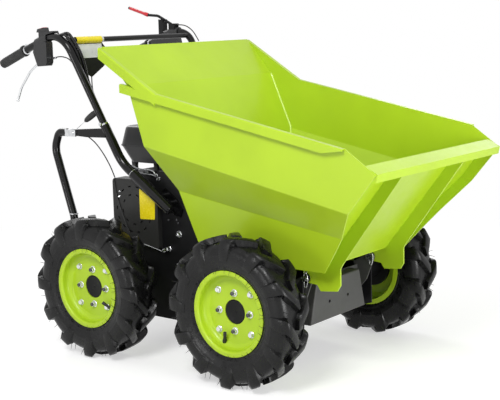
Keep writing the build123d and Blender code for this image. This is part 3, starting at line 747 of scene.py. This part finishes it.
# ---------------------------------------------------------------- finishes on the frame
@dataclass
class FrameDress:
    """The finish of every node of the frame that keeps its own shape."""

    finishes: dict[str, Finish] = field(default_factory=lambda: {
        "air_cleaner": MOULDED, "axle": BLACK, "belt_guard": GUARD_BLACK, "brake_lever": ZINC,
        "chassis_floor": BLACK, "chassis_front_plate": CHARCOAL, "chassis_sides": BLACK,
        "control_cables": SOFT, "dash_panel": BLACK, "drive_lever": BLACK,
        # the engine block takes the alloy's darker copy: painted shade
        "engine_block": SHADED_ALLOY, "engine_deck": BLACK, "fuel_tank": ENAMEL, "gearbox": ALLOY,
        "grips": SOFT, "handlebar": TUBE_BLACK, "hinge_pins": ZINC, "hub": BLACK,
        "lever_boxes": MOULDED, "rear_stays": TUBE_BLACK, "recoil_cover": MOULDED, "rim": GREEN,
        "silencer": HEAT, "stay_heads": ZINC, "stop_switch": MOULDED, "tub_rests": SOFT,
        "tub": GREEN, "tyre": TYRE,
    })

    def finish_of(self, node: str) -> Finish:
        """The finish whose name is the longest start of the node's name."""
        names = [name for name in self.finishes if node.startswith(name)]
        return self.finishes[max(names, key=len)]

    def build(self) -> None:
        """Puts each node's finish in its object's slots."""
        for name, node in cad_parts.items():
            paint = PAINT.of(self.finish_of(name))
            if not node.material_slots:
                node.data.materials.append(paint)
            for slot in node.material_slots:
                slot.material = paint
            LOG.info("%s: %s", name, paint.name)


# ---------------------------------------------------------------- wheels
@dataclass
class Wheel:
    """One wheel's tyre with its lugs, and the hardware on its disc."""

    body: Body
    side: int
    axle_y: float
    centre_x: float = 0.3264
    radius: float = 0.202
    disc_x: float = 0.3366
    lugs: int = 12
    lug_width: float = 0.030
    sweep: float = 0.27
    hub_nut_r: float = 0.0505
    rim_bolt_r: float = 0.075
    valve_turn: float = 0.0
    valve_r: float = 0.0905
    first_lug: float = 0.0
    # half section of the carcass from crown to bead, and of the lugs' tops: (across, radius)
    carcass: tuple[Pair, ...] = (
        (0.0, 0.1885), (0.016, 0.1878), (0.030, 0.1855), (0.0395, 0.181), (0.0458, 0.173),
        (0.0485, 0.163), (0.0492, 0.152), (0.0480, 0.140), (0.0445, 0.128), (0.0405, 0.1185),
    )
    lug_top: tuple[Pair, ...] = (
        (-0.005, 0.2015), (0.010, 0.2019), (0.026, 0.2019), (0.038, 0.2012), (0.0450, 0.1982),
        (0.0492, 0.1920), (0.0518, 0.1800), (0.0525, 0.1650), (0.0515, 0.1500), (0.0490, 0.1400),
    )

    @property
    def centre(self) -> Array:
        """The wheel's centre."""
        return np.array([self.side * self.centre_x, self.axle_y, self.radius])

    def spot(self, x: float, r: float, turn: float) -> Array:
        """A point at across x, radius r and an angle from rearwards over the top, in radians."""
        return np.array([self.side * x, self.axle_y + r * np.cos(turn),
                         self.radius + r * np.sin(turn)])

    def around(self, across: Array, radius: Array, turn: Array) -> Array:
        """Points (centre + across, r cos t, r sin t) for arrays of the same shape."""
        offset = np.stack([across, radius * np.cos(turn), radius * np.sin(turn)], axis=-1)
        return self.centre + offset

    def add_carcass(self, pile: Pile) -> None:
        """A closed section turned about the axle: crown, ringed walls, beads and inner skin.

        Args:
            pile: where it goes.
        """
        half = smooth_path([(a, r, 0.0) for a, r in self.carcass], 6)[:, :2]
        for ring_r, height, width in ((0.1235, 0.0011, 0.0016), (0.1460, 0.0007, 0.0022)):
            half[:, 0] += height * np.exp(-((half[:, 1] - ring_r) / width) ** 2)
        bead = np.array([(0.0381, 0.1155), (0.0378, 0.1135), (0.0376, 0.1032), (0.0330, 0.1030)])
        skin = np.array([(0.0310, 0.117), (0.0400, 0.134), (0.0412, 0.152), (0.0370, 0.171),
                         (0.0250, 0.1775)])
        right = np.vstack([half, bead, skin])
        left = right[::-1] * (-1, 1)
        section = np.vstack([right, left[:-1]])
        t = np.linspace(0, 2 * np.pi, 156, endpoint=False)
        shape = (len(t), len(section))
        across, radius, turn = (np.broadcast_to(part, shape)
                                for part in (section[:, 0], section[:, 1], t[:, None]))
        pile.grid(self.around(across, radius, turn), wrap_u=True, wrap_v=True)

    def add_lug(self, pile: Pile, hand: int, start: float) -> None:
        """One lug: at each step s from the crown to the wall, a rounded trapezium across its run.

        A point stands at turn start - sweep(s) + u / r, with u across the lug, and between the
        carcass (sunk a little) and the lug's top as h goes from 0 to 1.

        Args:
            pile: where it goes.
            hand: +1 or -1, the side of the tread.
            start: turn of its nose, in radians.
        """
        top = smooth_path([(a, r, 0.0) for a, r in self.lug_top], 3)[:, :2]
        run = np.concatenate([[0.0], np.cumsum(np.linalg.norm(np.diff(top, axis=0), axis=1))])
        s = run / run[-1]
        crown = np.clip(top[:, 0] / 0.0495, 0, 1)
        depth = np.interp(s, [0, 0.45, 0.62, 0.80, 1.0], [0.016, 0.017, 0.013, 0.0075, 0.0048])
        slope = np.gradient(top, axis=0)
        inward = np.stack([slope[:, 1], -slope[:, 0]], axis=1)
        inward = inward / np.linalg.norm(slope, axis=1, keepdims=True)
        base = top + inward * depth[:, None]
        turn = start - self.sweep * crown ** 0.9 - 0.05 * np.clip((s - 0.55) / 0.45, 0, 1)
        width = self.lug_width * np.interp(s, [0, 0.08, 0.35, 0.6, 0.9, 1.0],
                                           [0.80, 1.0, 1.08, 1.12, 0.92, 0.70])
        across = np.array([-0.66, -0.56, -0.50, -0.45, 0.0, 0.45, 0.50, 0.56, 0.66])
        height = np.array([0.0, 0.55, 0.955, 1.0, 1.0, 1.0, 0.955, 0.55, 0.0])
        place = base[:, None] + (top - base)[:, None] * height[None, :, None]
        turns = turn[:, None] + width[:, None] * across[None] / place[..., 1]
        points = self.around(hand * place[..., 0], place[..., 1], turns)
        index = pile.grid(points, wrap_v=True)
        pile.cap(index[0])
        pile.cap(index[-1])

    def add_hair(self, pile: Pile, root: Array, tip: Array, thick: float, thin: float) -> None:
        """A three-sided cone from root to tip.

        Args:
            pile: where it goes.
            root: its foot.
            tip: its free end.
            thick: radius at the foot.
            thin: radius at the tip.
        """
        way = tip - root
        pile.spin(np.array([(0, thick), (np.linalg.norm(way), thin)]), root, way, 3)

    def add_hairs(self, pile: Pile) -> None:
        """Moulding hairs: thin three-sided cones in the gaps between lugs and over the rim's edge.

        A hair runs from (across, r, turn) on the carcass to a tip a little further out.

        Args:
            pile: where they go.
        """
        draw = np.random.default_rng(7)
        pitch = 2 * np.pi / self.lugs
        for k in range(self.lugs):
            for part, across in ((0.34, 0.041), (0.52, 0.036), (0.70, 0.043), (0.12, 0.0395)):
                turn = (k + part) * pitch + self.first_lug - self.sweep + draw.uniform(-0.04, 0.04)
                root = self.around(*np.array([self.side * across, 0.1775, turn]))
                tip = self.around(*np.array([self.side * (across + draw.uniform(-0.001, 0.005)),
                                             draw.uniform(0.196, 0.2012),
                                             turn + draw.uniform(-0.05, 0.05)]))
                self.add_hair(pile, root, tip, 0.0010, 0.0005)
        for turn in np.linspace(0, 2 * np.pi, 34, endpoint=False) + draw.uniform(-0.08, 0.08, 34):
            root = self.around(*np.array([self.side * 0.0430, 0.1225, turn]))
            tip = self.around(*np.array([self.side * 0.0468, draw.uniform(0.105, 0.112),
                                         turn + draw.uniform(-0.05, 0.05)]))
            self.add_hair(pile, root, tip, 0.0009, 0.0004)

    def build_tyre(self) -> None:
        """Carcass, lugs on both hands half a pitch apart, and hairs, as one piece."""
        pile = Pile()
        self.add_carcass(pile)
        pitch = 2 * np.pi / self.lugs
        for k in range(self.lugs):
            self.add_lug(pile, 1, k * pitch + self.first_lug)
            self.add_lug(pile, -1, (k + 0.5) * pitch + self.first_lug)
        self.add_hairs(pile)
        name = self.body.value.replace("wheel", "tyre")
        tyre = pile.build(f"lugged_{name}", TYRE, self.body, Slot.TYRE, smooth_angle=38)
        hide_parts(name)

    def build_hardware(self) -> None:
        """Hub nuts with dark stud ends that also paint the shade in each nut's recess, rim bolts,
        valve and the cap in the hub's nose.
        """
        out = (self.side, 0, 0)
        bright, dark, rubber, cap = Pile(), Pile(), Pile(), Pile()
        for k in range(4):
            seat = self.spot(self.disc_x, self.hub_nut_r, k * np.pi / 2)
            bright.spin(np.array([(0, 0.0098), (0.0012, 0.0098), (0.0020, 0.0082)]), seat, out, 24)
            hex_profile(bright, seat + np.array(out) * 0.0015, out, 0.0135, 0.0075)
            # Dark steel stud ends, sized so their dark colour also paints the shade in each nut's
            # recess.
            dark.spin(np.array([(0, 0.0052), (0.0122, 0.0052), (0.0130, 0.0042)]), seat, out, 16)
            turn = np.pi / 4 + k * np.pi / 2
            seat = self.spot(self.disc_x, self.rim_bolt_r, turn)
            fastener(bright, seat, out, 0.013, 0.0062, washer=0.0092)
        root = self.spot(self.disc_x + 0.002, self.valve_r, self.valve_turn)
        inward = (self.spot(self.disc_x, 0.0, self.valve_turn)
                  - self.spot(self.disc_x, 1.0, self.valve_turn))
        way = inward * 0.92 + np.array(out) * 0.39
        stem = np.array([(-0.003, 0.0062), (0.004, 0.0062), (0.008, 0.0044), (0.023, 0.0038),
                         (0.0235, 0.0046), (0.032, 0.0046), (0.033, 0.0038)])
        rubber.spin(stem, root, way, 16)
        dish = np.array([(-0.0030, 0.0285), (-0.0012, 0.0306), (-0.0006, 0.0300), (-0.0004, 0.0262),
                         (-0.0012, 0.0240), (-0.0012, 0.0040), (-0.0004, 0.0034)])
        cap.spin(dish, self.spot(self.disc_x, 0.0, 0.0), out, 48)
        name = self.body.value
        bright.build(f"{name}_nuts", ZINC, self.body, Slot.ZINC, smooth_angle=30)
        dark.build(f"{name}_stud_ends_and_painted_shade", DARK_STEEL, self.body, Slot.ZINC)
        rubber.build(f"{name}_valve", SOFT, self.body, Slot.RUBBER)
        cap.build(f"{name}_hub_cap", HUB_BLACK, self.body, Slot.PLASTIC)

    def build(self) -> None:
        """Builds the tyre and the hardware."""
        self.build_tyre()
        self.build_hardware()


# ---------------------------------------------------------------- tub and hinge
@dataclass
class HingeClips:
    """Bright spring clips through the ends of the hinge pins."""

    wire: float = 0.0011
    pin_y: float = -0.366
    pin_z: float = 0.272
    places: tuple[float, ...] = (-0.1765, 0.1450)
    # from the pin's centre: rearwards, up
    bends: tuple[Pair, ...] = (
        (0.0, 0.020), (0.0, 0.010), (0.0, -0.018), (-0.002, -0.023), (-0.006, -0.023),
        (-0.008, -0.018), (-0.0106, -0.010), (-0.0112, 0.0), (-0.0095, 0.008), (-0.006, 0.015),
        (-0.009, 0.020))

    def add_clip(self, pile: Pile, x: float) -> None:
        """A straight leg down through the pin and a humped leg round it.

        Args:
            pile: where it goes.
            x: where along the pin.
        """
        path = [(x, self.pin_y + dy, self.pin_z + dz) for dy, dz in self.bends]
        pile.tube(smooth_path(path, 6), ring(self.wire, 8))

    def build(self) -> None:
        """Builds both clips."""
        pile = Pile()
        for x in self.places:
            self.add_clip(pile, x)
        pile.build("hinge_clips", ZINC, Body.CHASSIS, Slot.ZINC)


@dataclass
class WeldBeads:
    """Thick beads of weld up the tub's inner corners, paler than the tub as a painted highlight."""

    # left corners between the walls and the sides, inside: (x, y, z), low to high
    rear: tuple[Point, ...] = (
        (0.2080, -0.0591, 0.360), (0.2275, -0.0200, 0.475), (0.2325, -0.0165, 0.487),
        (0.3080, 0.0221, 0.600), (0.3136, 0.0262, 0.612), (0.3184, 0.1027, 0.776))
    front: tuple[Point, ...] = (
        (0.2076, -0.4299, 0.330), (0.2435, -0.4922, 0.410), (0.2476, -0.4985, 0.418),
        (0.3060, -0.5520, 0.486), (0.3130, -0.5608, 0.497), (0.3162, -0.6179, 0.570))
    radius: float = 0.0030

    def add_bead(self, pile: Pile, corner: tuple[Point, ...], side: int) -> None:
        """A round bead whose radius swells and shrinks as 1 + 0.12 sin along its length.

        Args:
            pile: where it goes.
            corner: the points it follows.
            side: +1 or -1.
        """
        p = np.array(corner) * (side, 1, 1)
        run = np.concatenate([[0.0], np.cumsum(np.linalg.norm(np.diff(p, axis=0), axis=1))])
        t = np.linspace(0, run[-1], 120)
        path = np.stack([np.interp(t, run, p[:, k]) for k in range(3)], axis=1)
        swell = 1 + 0.12 * np.sin(2 * np.pi * t / 0.0075)
        pile.tube(path, ring(self.radius, 10)[None] * swell[:, None, None])

    def build(self) -> None:
        """Builds the four beads as one piece."""
        pile = Pile()
        for side in (-1, 1):
            self.add_bead(pile, self.rear, side)
            self.add_bead(pile, self.front, side)
        # The beads' paler green is a painted highlight along the corners.
        pile.build("tub_weld_beads", WELD_PAINTED_HIGHLIGHT, Body.TUB, Slot.GREEN)


# ---------------------------------------------------------------- chassis and guard
@dataclass
class ChassisFasteners:
    """Bolts and nuts on the side plates, the towers and the front plate."""

    plate_x: float = 0.171
    tower_screws: tuple[Pair, ...] = ((0.0912, 0.4039), (0.1125, 0.3832), (0.0811, 0.3862),
                                      (0.0761, 0.3775))
    dome: Pair = (0.0725, 0.3450)
    plate_bolt: Pair = (0.079, 0.251)
    link_fork: Point = (-0.1820, 0.1060, 0.3015)
    link_end: Point = (-0.1840, 0.1300, 0.2920)
    rod_way: Point = (-0.0060, 0.0541, 0.0135)
    rod_length: float = 0.064
    link_bolt: Point = (-0.171, 0.1120, 0.2990)
    axle_offsets: tuple[Pair, ...] = ((-0.035, -0.035), (0.035, -0.035), (0.035, 0.035),
                                      (-0.035, 0.035))
    axle_y: Pair = (-0.259, 0.259)
    axle_z: float = 0.202
    axle_face_x: float = 0.179

    def build(self) -> None:
        """Builds the fasteners of both sides as one piece."""
        pile, dark = Pile(), Pile()
        dome = np.array([(0, 0.0105), (0.0015, 0.0105), (0.002, 0.0075), (0.006, 0.0070),
                         (0.0095, 0.0045), (0.0105, 0.0015)])
        screw = np.array([(0, 0.0034), (0.0012, 0.0034), (0.0022, 0.0022)])
        for side in (-1, 1):
            out = (side, 0, 0)
            for y in self.axle_y:
                for dy, dz in self.axle_offsets:
                    seat = (side * self.axle_face_x, y + dy, self.axle_z + dz)
                    fastener(pile, seat, out, 0.013, 0.0065, 0.010)
            fastener(pile, (side * self.plate_x, *self.plate_bolt), out, 0.013, 0.006, 0.0095)
            pile.spin(dome, (side * self.plate_x, *self.dome), out, 24)
            for place in self.tower_screws:
                dark.spin(screw, (side * self.plate_x, *place), out, 12)
        self.add_link(pile)
        pile.build("chassis_fasteners", ZINC, Body.CHASSIS, Slot.ZINC, smooth_angle=30)
        dark.build("tower_screws", DARK_STEEL, Body.CHASSIS, Slot.ZINC)

    def add_link(self, pile: Pile) -> None:
        """The gear link's bright fork and thin rod beside the right tower.

        The rod's centre runs straight on from the fork's end, rearwards along the tower.

        Args:
            pile: where it goes.
        """
        fork, end = np.array(self.link_fork), np.array(self.link_end)
        pile.spin(np.array([(0, 0.0036), (0.002, 0.0058), (0.019, 0.0058), (0.022, 0.0036)]),
                  fork, end - fork, 16)
        pile.spin(np.array([(0, 0.0014), (self.rod_length, 0.0014)]), end, self.rod_way, 10)
        fastener(pile, self.link_bolt, (-1, 0, 0), 0.010, 0.0165, 0.0070)


@dataclass
class GuardSigns:
    """The blank yellow plate and two screws on the belt guard, and the blank white dash plate."""

    guard_x: float = -0.1872
    sign: tuple[Pair, ...] = ((0.208, 0.470), (0.208, 0.380), (0.1505, 0.383), (0.148, 0.434))
    thickness: float = 0.0006
    # on the guard: y, z, radius
    screws: tuple[Point, ...] = ((0.2879, 0.4551, 0.0030), (0.2904, 0.4394, 0.0040))
    dash_y: float = 0.4028
    # on the dash: x, z
    dash: tuple[Pair, ...] = ((-0.2380, 0.8850), (-0.1220, 0.8850), (-0.1190, 0.8445),
                              (-0.2345, 0.8445))

    def build(self) -> None:
        """Builds the plates and the guard's two screws."""
        pile = Pile()
        outline = outline_yz(self.guard_x, self.sign, 0.004)
        pile.plate(outline, np.zeros(3), np.array([-self.thickness, 0, 0]))
        pile.build("guard_sign", YELLOW, Body.CHASSIS, Slot.BLACK)
        screws = Pile()
        for y, z, radius in self.screws:
            screws.spin(np.array([(0, radius), (0.0012, radius), (0.0026, radius * 0.6)]),
                        (self.guard_x + 0.0004, y, z), (-1, 0, 0), 16)
        screws.build("guard_screws", ZINC, Body.CHASSIS, Slot.ZINC)
        white = Pile()
        outline = np.array([(x, self.dash_y, z) for x, z in self.dash])
        white.plate(outline, np.zeros(3), np.array([0, -self.thickness, 0]))
        white.build("dash_plate", WHITE, Body.CHASSIS, Slot.BLACK)


# ---------------------------------------------------------------- handlebar
@dataclass
class Grips:
    """Moulded grips with a flange, finger rings and a domed end."""

    x: float = 0.270
    end: Pair = (0.678, 0.828)
    way: Pair = (-0.9313, 0.3641)
    length: float = 0.112

    def build(self) -> None:
        """Radius along the grip = body + rings of a cosine, with a flange at the inner end."""
        pile = Pile()
        h = np.linspace(0.002, self.length - 0.008, 90)
        body = 0.0137 + 0.0005 * (1 + np.cos(2 * np.pi * h / 0.0065)) * (h > 0.012) * (h < 0.094)
        flange = [(0.1045, 0.0165), (0.1065, 0.0170), (0.1115, 0.0170), (0.112, 0.0160),
                  (0.112, 0.0112)]
        nose = [(0.0, 0.0104), (0.0004, 0.0122)]
        profile = np.vstack([nose, np.stack([h, body], axis=1), flange])
        way = np.array([0.0, *self.way])
        for side in (-1, 1):
            pile.spin(profile, (side * self.x, *self.end), way / np.linalg.norm(way), 32)
        piece = pile.build("moulded_grips", SOFT, Body.CHASSIS, Slot.RUBBER)
        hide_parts("grips")


@dataclass
class CableFittings:
    """Springs, boots and ferrules at the ends of the control cables, and rings on the tubes."""

    joint: Array = field(default_factory=lambda: np.array([-0.2274, 0.2989, 0.6570]))
    leg_way: Array = field(default_factory=lambda: np.array([-0.1836, 0.3520, 0.9178]))
    leg_r: float = 0.0132
    socket_top: Array = field(default_factory=lambda: np.array([-0.205, 0.2123, 0.5150]))
    socket_way: Array = field(default_factory=lambda: np.array([0.0, 0.8243, 0.5661]))
    socket_r: float = 0.0146
    spring_top: Point = (-0.2135, 0.3300, 0.6960)
    spring_end: Point = (-0.2160, 0.3080, 0.6650)
    boot_start: Point = (-0.2250, 0.3790, 0.6620)
    boot_end: Point = (-0.2250, 0.3290, 0.6925)
    wire_end: Point = (-0.2220, 0.4190, 0.6375)
    ferrule: Point = (-0.262, 0.4660, 0.8460)
    ferrule_way: Point = (0.0, 1.0, -0.12)
    stay_foot: Point = (0.230, 0.4400, 0.3820)

    def add_coil(self, pile: Pile, start: Array, end: Array, radius: float, wire: float,
                 turns: int) -> None:
        """A coil spring: a circle carried from start to end while its centre turns round the line.

        Args:
            pile: where it goes.
            start: one end of the axis.
            end: other end.
            radius: coil radius.
            wire: wire radius.
            turns: number of turns.
        """
        way = (end - start) / np.linalg.norm(end - start)
        e1 = np.cross(way, (1.0, 0.0, 0.0))
        e1 /= np.linalg.norm(e1)
        e2 = np.cross(way, e1)
        t = np.linspace(0, 1, turns * 14 + 1)
        a = 2 * np.pi * turns * t
        swing = np.cos(a)[:, None] * e1 + np.sin(a)[:, None] * e2
        path = start + t[:, None] * (end - start) + radius * swing
        pile.tube(path, ring(wire, 6))

    def build(self) -> None:
        """Builds every fitting."""
        zinc, soft = Pile(), Pile()
        upper, lower = np.array(self.spring_top), np.array(self.spring_end)
        way = lower - upper
        zinc.spin(np.array([(-0.030, 0.0030), (-0.028, 0.0046), (-0.010, 0.0046), (-0.008, 0.0030),
                            (-0.002, 0.0030), (0.0, 0.0062), (0.004, 0.0062)]), upper, way, 20)
        self.add_coil(zinc, upper, lower, 0.0050, 0.0010, 8)
        for centre, along, radius, width in (
                (self.joint, self.leg_way, self.leg_r, 0.0050),
                (self.socket_top, self.socket_way, self.socket_r, 0.0018)):
            self.add_ring(zinc, centre, along, radius, width)
            self.add_ring(zinc, mirror_x(centre), mirror_x(along), radius, width)
        fastener(zinc, self.joint + np.array([-0.0140, 0.0, 0.0]), (-1, 0, 0), 0.010, 0.005)
        start, end = np.array(self.boot_start), np.array(self.boot_end)
        self.add_wire(zinc, start, np.array(self.wire_end))
        zinc.spin(np.array([(-0.016, 0.0022), (-0.0150, 0.0034), (-0.002, 0.0034), (0.0, 0.0026)]),
                  self.ferrule, self.ferrule_way, 16)
        for side in (-1, 1):
            foot = np.array(self.stay_foot) * (side, 1, 1)
            self.add_ring(zinc, foot, np.array([0.0, 0.0, 1.0]), 0.0120, 0.0030)
        zinc.build("cable_fittings", ZINC, Body.CHASSIS, Slot.ZINC)
        soft.spin(np.array([(0, 0.004), (0.006, 0.0072), (0.020, 0.0090), (0.040, 0.0094),
                            (0.052, 0.0080), (0.0576, 0.0045)]), start, end - start, 24)
        soft.build("cable_boot", SOFT, Body.CHASSIS, Slot.RUBBER)

    def add_ring(self, pile: Pile, centre: Array, way: Array, radius: float, width: float) -> None:
        """A flat ring round a tube, with eased edges.

        Args:
            pile: where it goes.
            centre: its middle.
            way: the tube's direction.
            radius: its inner radius.
            width: its width along the tube.
        """
        half, outer = width / 2, radius + 0.0013
        pile.spin(np.array([(-half, radius), (-half, radius + 0.0008), (-half + 0.0004, outer),
                            (half - 0.0004, outer), (half, radius + 0.0008), (half, radius)]),
                  centre, way, 32)

    def add_wire(self, pile: Pile, start: Array, end: Array) -> None:
        """A bare inner wire, straight from start to end.

        Args:
            pile: where it goes.
            start: one end.
            end: other end.
        """
        way = end - start
        pile.spin(np.array([(0, 0.0009), (np.linalg.norm(way), 0.0009)]), start, way, 8)


@dataclass
class TubeSleeves:
    """Twin black sleeves over the wiring along the right handlebar tube, and the tubes' plugs.

    The tube's centre runs from corner along way. The sleeves stand off it to one side, then
    pass behind it.
    """

    corner: Point = (-0.278, 0.396, 0.910)
    way: Point = (0.183, -0.352, -0.917)
    beside: Point = (0.592, -0.705, 0.388)
    behind: Point = (0.762, 0.636, -0.092)
    # along the tube, to the side, behind: metres
    run: tuple[Point, ...] = (
        (-0.004, 0.008, 0.000), (0.018, 0.0155, 0.003), (0.040, 0.0185, 0.004),
        (0.065, 0.0190, 0.005), (0.092, 0.0155, 0.010), (0.118, 0.0095, 0.0155),
        (0.150, 0.0030, 0.0190), (0.200, 0.0000, 0.0180))
    mouth: Point = (-0.2690, 0.4330, 0.9110)
    radius: float = 0.0046
    end: Point = (0.205, 0.074, 0.420)
    end_way: Point = (0.0, -0.8242416, -0.5661)

    def build(self) -> None:
        """Each sleeve's centre = corner + way * a + beside * (b -+ radius) + behind * c."""
        pile = Pile()
        a, b, c = (np.array(self.run)[:, k:k + 1] for k in range(3))
        for shift in (-self.radius, self.radius):
            points = (np.array(self.corner) + a * self.way + (b + shift) * self.beside
                      + c * self.behind)
            path = smooth_path([self.mouth, *points.tolist()], 8)
            pile.tube(path, ring(self.radius, 14))
        pile.build("handlebar_sleeves", SLEEVE, Body.CHASSIS, Slot.RUBBER)
        plugs = Pile()
        plug = np.array([(-0.0060, 0.0100), (0.0, 0.0102), (0.0004, 0.0132), (0.0020, 0.0128),
                         (0.0032, 0.0070), (0.0034, 0.0)])
        for side in (-1, 1):
            plugs.spin(plug, (side * self.end[0], *self.end[1:]), self.end_way, 28)
        plugs.build("tube_plugs", SLEEVE, Body.CHASSIS, Slot.RUBBER)


@dataclass
class EngineBrackets:
    """Dull bent straps of the throttle over the engine, and rubber spacers under the tank."""

    straps: tuple[tuple[Point, ...], ...] = (
        ((-0.177, 0.2442, 0.5340), (-0.177, 0.2214, 0.5265), (-0.177, 0.1957, 0.5244),
         (-0.177, 0.1721, 0.5242), (-0.177, 0.1586, 0.5205), (-0.177, 0.1520, 0.5130)),
        ((-0.176, 0.2230, 0.5165), (-0.176, 0.2042, 0.5133), (-0.176, 0.1857, 0.5116),
         (-0.176, 0.1688, 0.5112), (-0.175, 0.1533, 0.5080)))
    nuts: tuple[Pair, ...] = ((0.190, 0.517), (0.153, 0.509), (0.145, 0.500))
    tower_face_x: float = -0.1710
    # x, y, radius
    spacers: tuple[Point, ...] = ((-0.100, 0.304, 0.0105), (-0.100, 0.218, 0.0085))
    spacer_z: float = 0.5030

    def build(self) -> None:
        """Round straps along smooth paths with small nuts, and turned spacers."""
        pile, rubber = Pile(), Pile()
        for strap in self.straps:
            pile.tube(smooth_path(strap, 8), ring(0.0022, 10))
        for y, z in self.nuts:
            fastener(pile, (self.tower_face_x, y, z), (-1, 0, 0), 0.008, 0.005, 0.0055)
        pile.build("throttle_brackets", DULL_ZINC, Body.CHASSIS, Slot.ZINC)
        for x, y, radius in self.spacers:
            waisted = np.array([(0.0, radius * 0.9), (0.002, radius), (0.016, radius * 0.86),
                                (0.032, radius), (0.034, radius * 0.9)])
            rubber.spin(waisted, (x, y, self.spacer_z), (0, 0, 1), 24)
        rubber.build("tank_spacers", SOFT, Body.CHASSIS, Slot.RUBBER)


@dataclass
class HandlebarTrim:
    """Sleeve on the crossbar, red sleeve on the drive lever, red switch cap and clips."""

    crossbar: Pair = (0.404, 0.897)
    sleeve_x: Pair = (-0.2278, -0.1252)
    grip_x: float = 0.270
    grip_way: Pair = (-0.9313, 0.3641)
    clip_place: Pair = (0.5690, 0.8690)
    clip_screw: Pair = (0.5665, 0.8835)
    screw_way: Pair = (0.3641, 0.9313)
    lever_tip: Point = (0.270, 0.6600, 0.9904)
    lever_bend: Point = (0.270, 0.5730, 0.9650)
    switch_x: float = -0.2775
    switch_width: float = 0.0150
    # side of the switch's cap: y, z
    switch_cap: tuple[Pair, ...] = ((0.5100, 0.9225), (0.5060, 0.9325), (0.4805, 0.9372),
                                    (0.4770, 0.9245))

    def build_sleeve(self) -> None:
        """Yellow sleeve over the panel's clamp, and a bright clip at its end."""
        sleeve, clip = Pile(), Pile()
        y, z = self.crossbar
        x0, x1 = self.sleeve_x
        sleeve.spin(np.array([(0.0, 0.0085), (0.0, 0.0104), (x1 - x0, 0.0104), (x1 - x0, 0.0085)]),
                    (x0, y, z), (1, 0, 0), 32)
        sleeve.build("crossbar_sleeve", YELLOW, Body.CHASSIS, Slot.BLACK)
        clip.spin(np.array([(0.0, 0.0082), (0.0, 0.0098), (0.006, 0.0098), (0.006, 0.0082)]),
                  (x1 + 0.001, y, z), (1, 0, 0), 28)
        for side in (-1, 1):
            clip.spin(np.array([(0.0, 0.0112), (0.0, 0.0128), (0.005, 0.0128), (0.005, 0.0112)]),
                      (side * self.grip_x, *self.clip_place), (0, *self.grip_way), 28)
            fastener(clip, (side * self.grip_x, *self.clip_screw), (0, *self.screw_way), 0.006,
                     0.005)
        clip.build("handlebar_clips", ZINC, Body.CHASSIS, Slot.ZINC)

    def build_controls(self) -> None:
        """Red sleeve of the drive lever and red cap of the stop switch."""
        red = Pile()
        tip, bend = np.array(self.lever_tip), np.array(self.lever_bend)
        length = float(np.linalg.norm(bend - tip))
        red.spin(np.array([(0.003, 0.0030), (0.004, 0.0046), (0.006, 0.0050),
                           (length - 0.020, 0.0053), (length - 0.016, 0.0064),
                           (length - 0.002, 0.0066), (length, 0.0050)]), tip, bend - tip, 24)
        outline = outline_yz(self.switch_x, self.switch_cap, 0.0030)
        red.plate(outline, np.zeros(3), np.array([self.switch_width, 0.0, 0.0]))
        red.build("red_controls", RED, Body.CHASSIS, Slot.BLACK, bevel=0.0008)

    def build(self) -> None:
        """Builds the trim."""
        self.build_sleeve()
        self.build_controls()


# ---------------------------------------------------------------- all together
def main() -> None:
    """Builds every sub-assembly in order."""
    logging.basicConfig(level=logging.INFO, format="%(name)s %(message)s")
    Studio().build()
    FrameDress().build()
    for body, side, axle_y, valve, lug in ((Body.FRONT_RIGHT, -1, -0.259, -1.17, 0.035),
                                           (Body.FRONT_LEFT, 1, -0.259, -0.6, 0.2),
                                           (Body.REAR_RIGHT, -1, 0.259, -2.476, -0.017),
                                           (Body.REAR_LEFT, 1, 0.259, 2.5, 0.1)):
        Wheel(body, side, axle_y, valve_turn=valve, first_lug=lug).build()
    HingeClips().build()
    WeldBeads().build()
    ChassisFasteners().build()
    TubeSleeves().build()
    EngineBrackets().build()
    GuardSigns().build()
    Grips().build()
    CableFittings().build()
    HandlebarTrim().build()


if __name__ == "__main__":
    main()
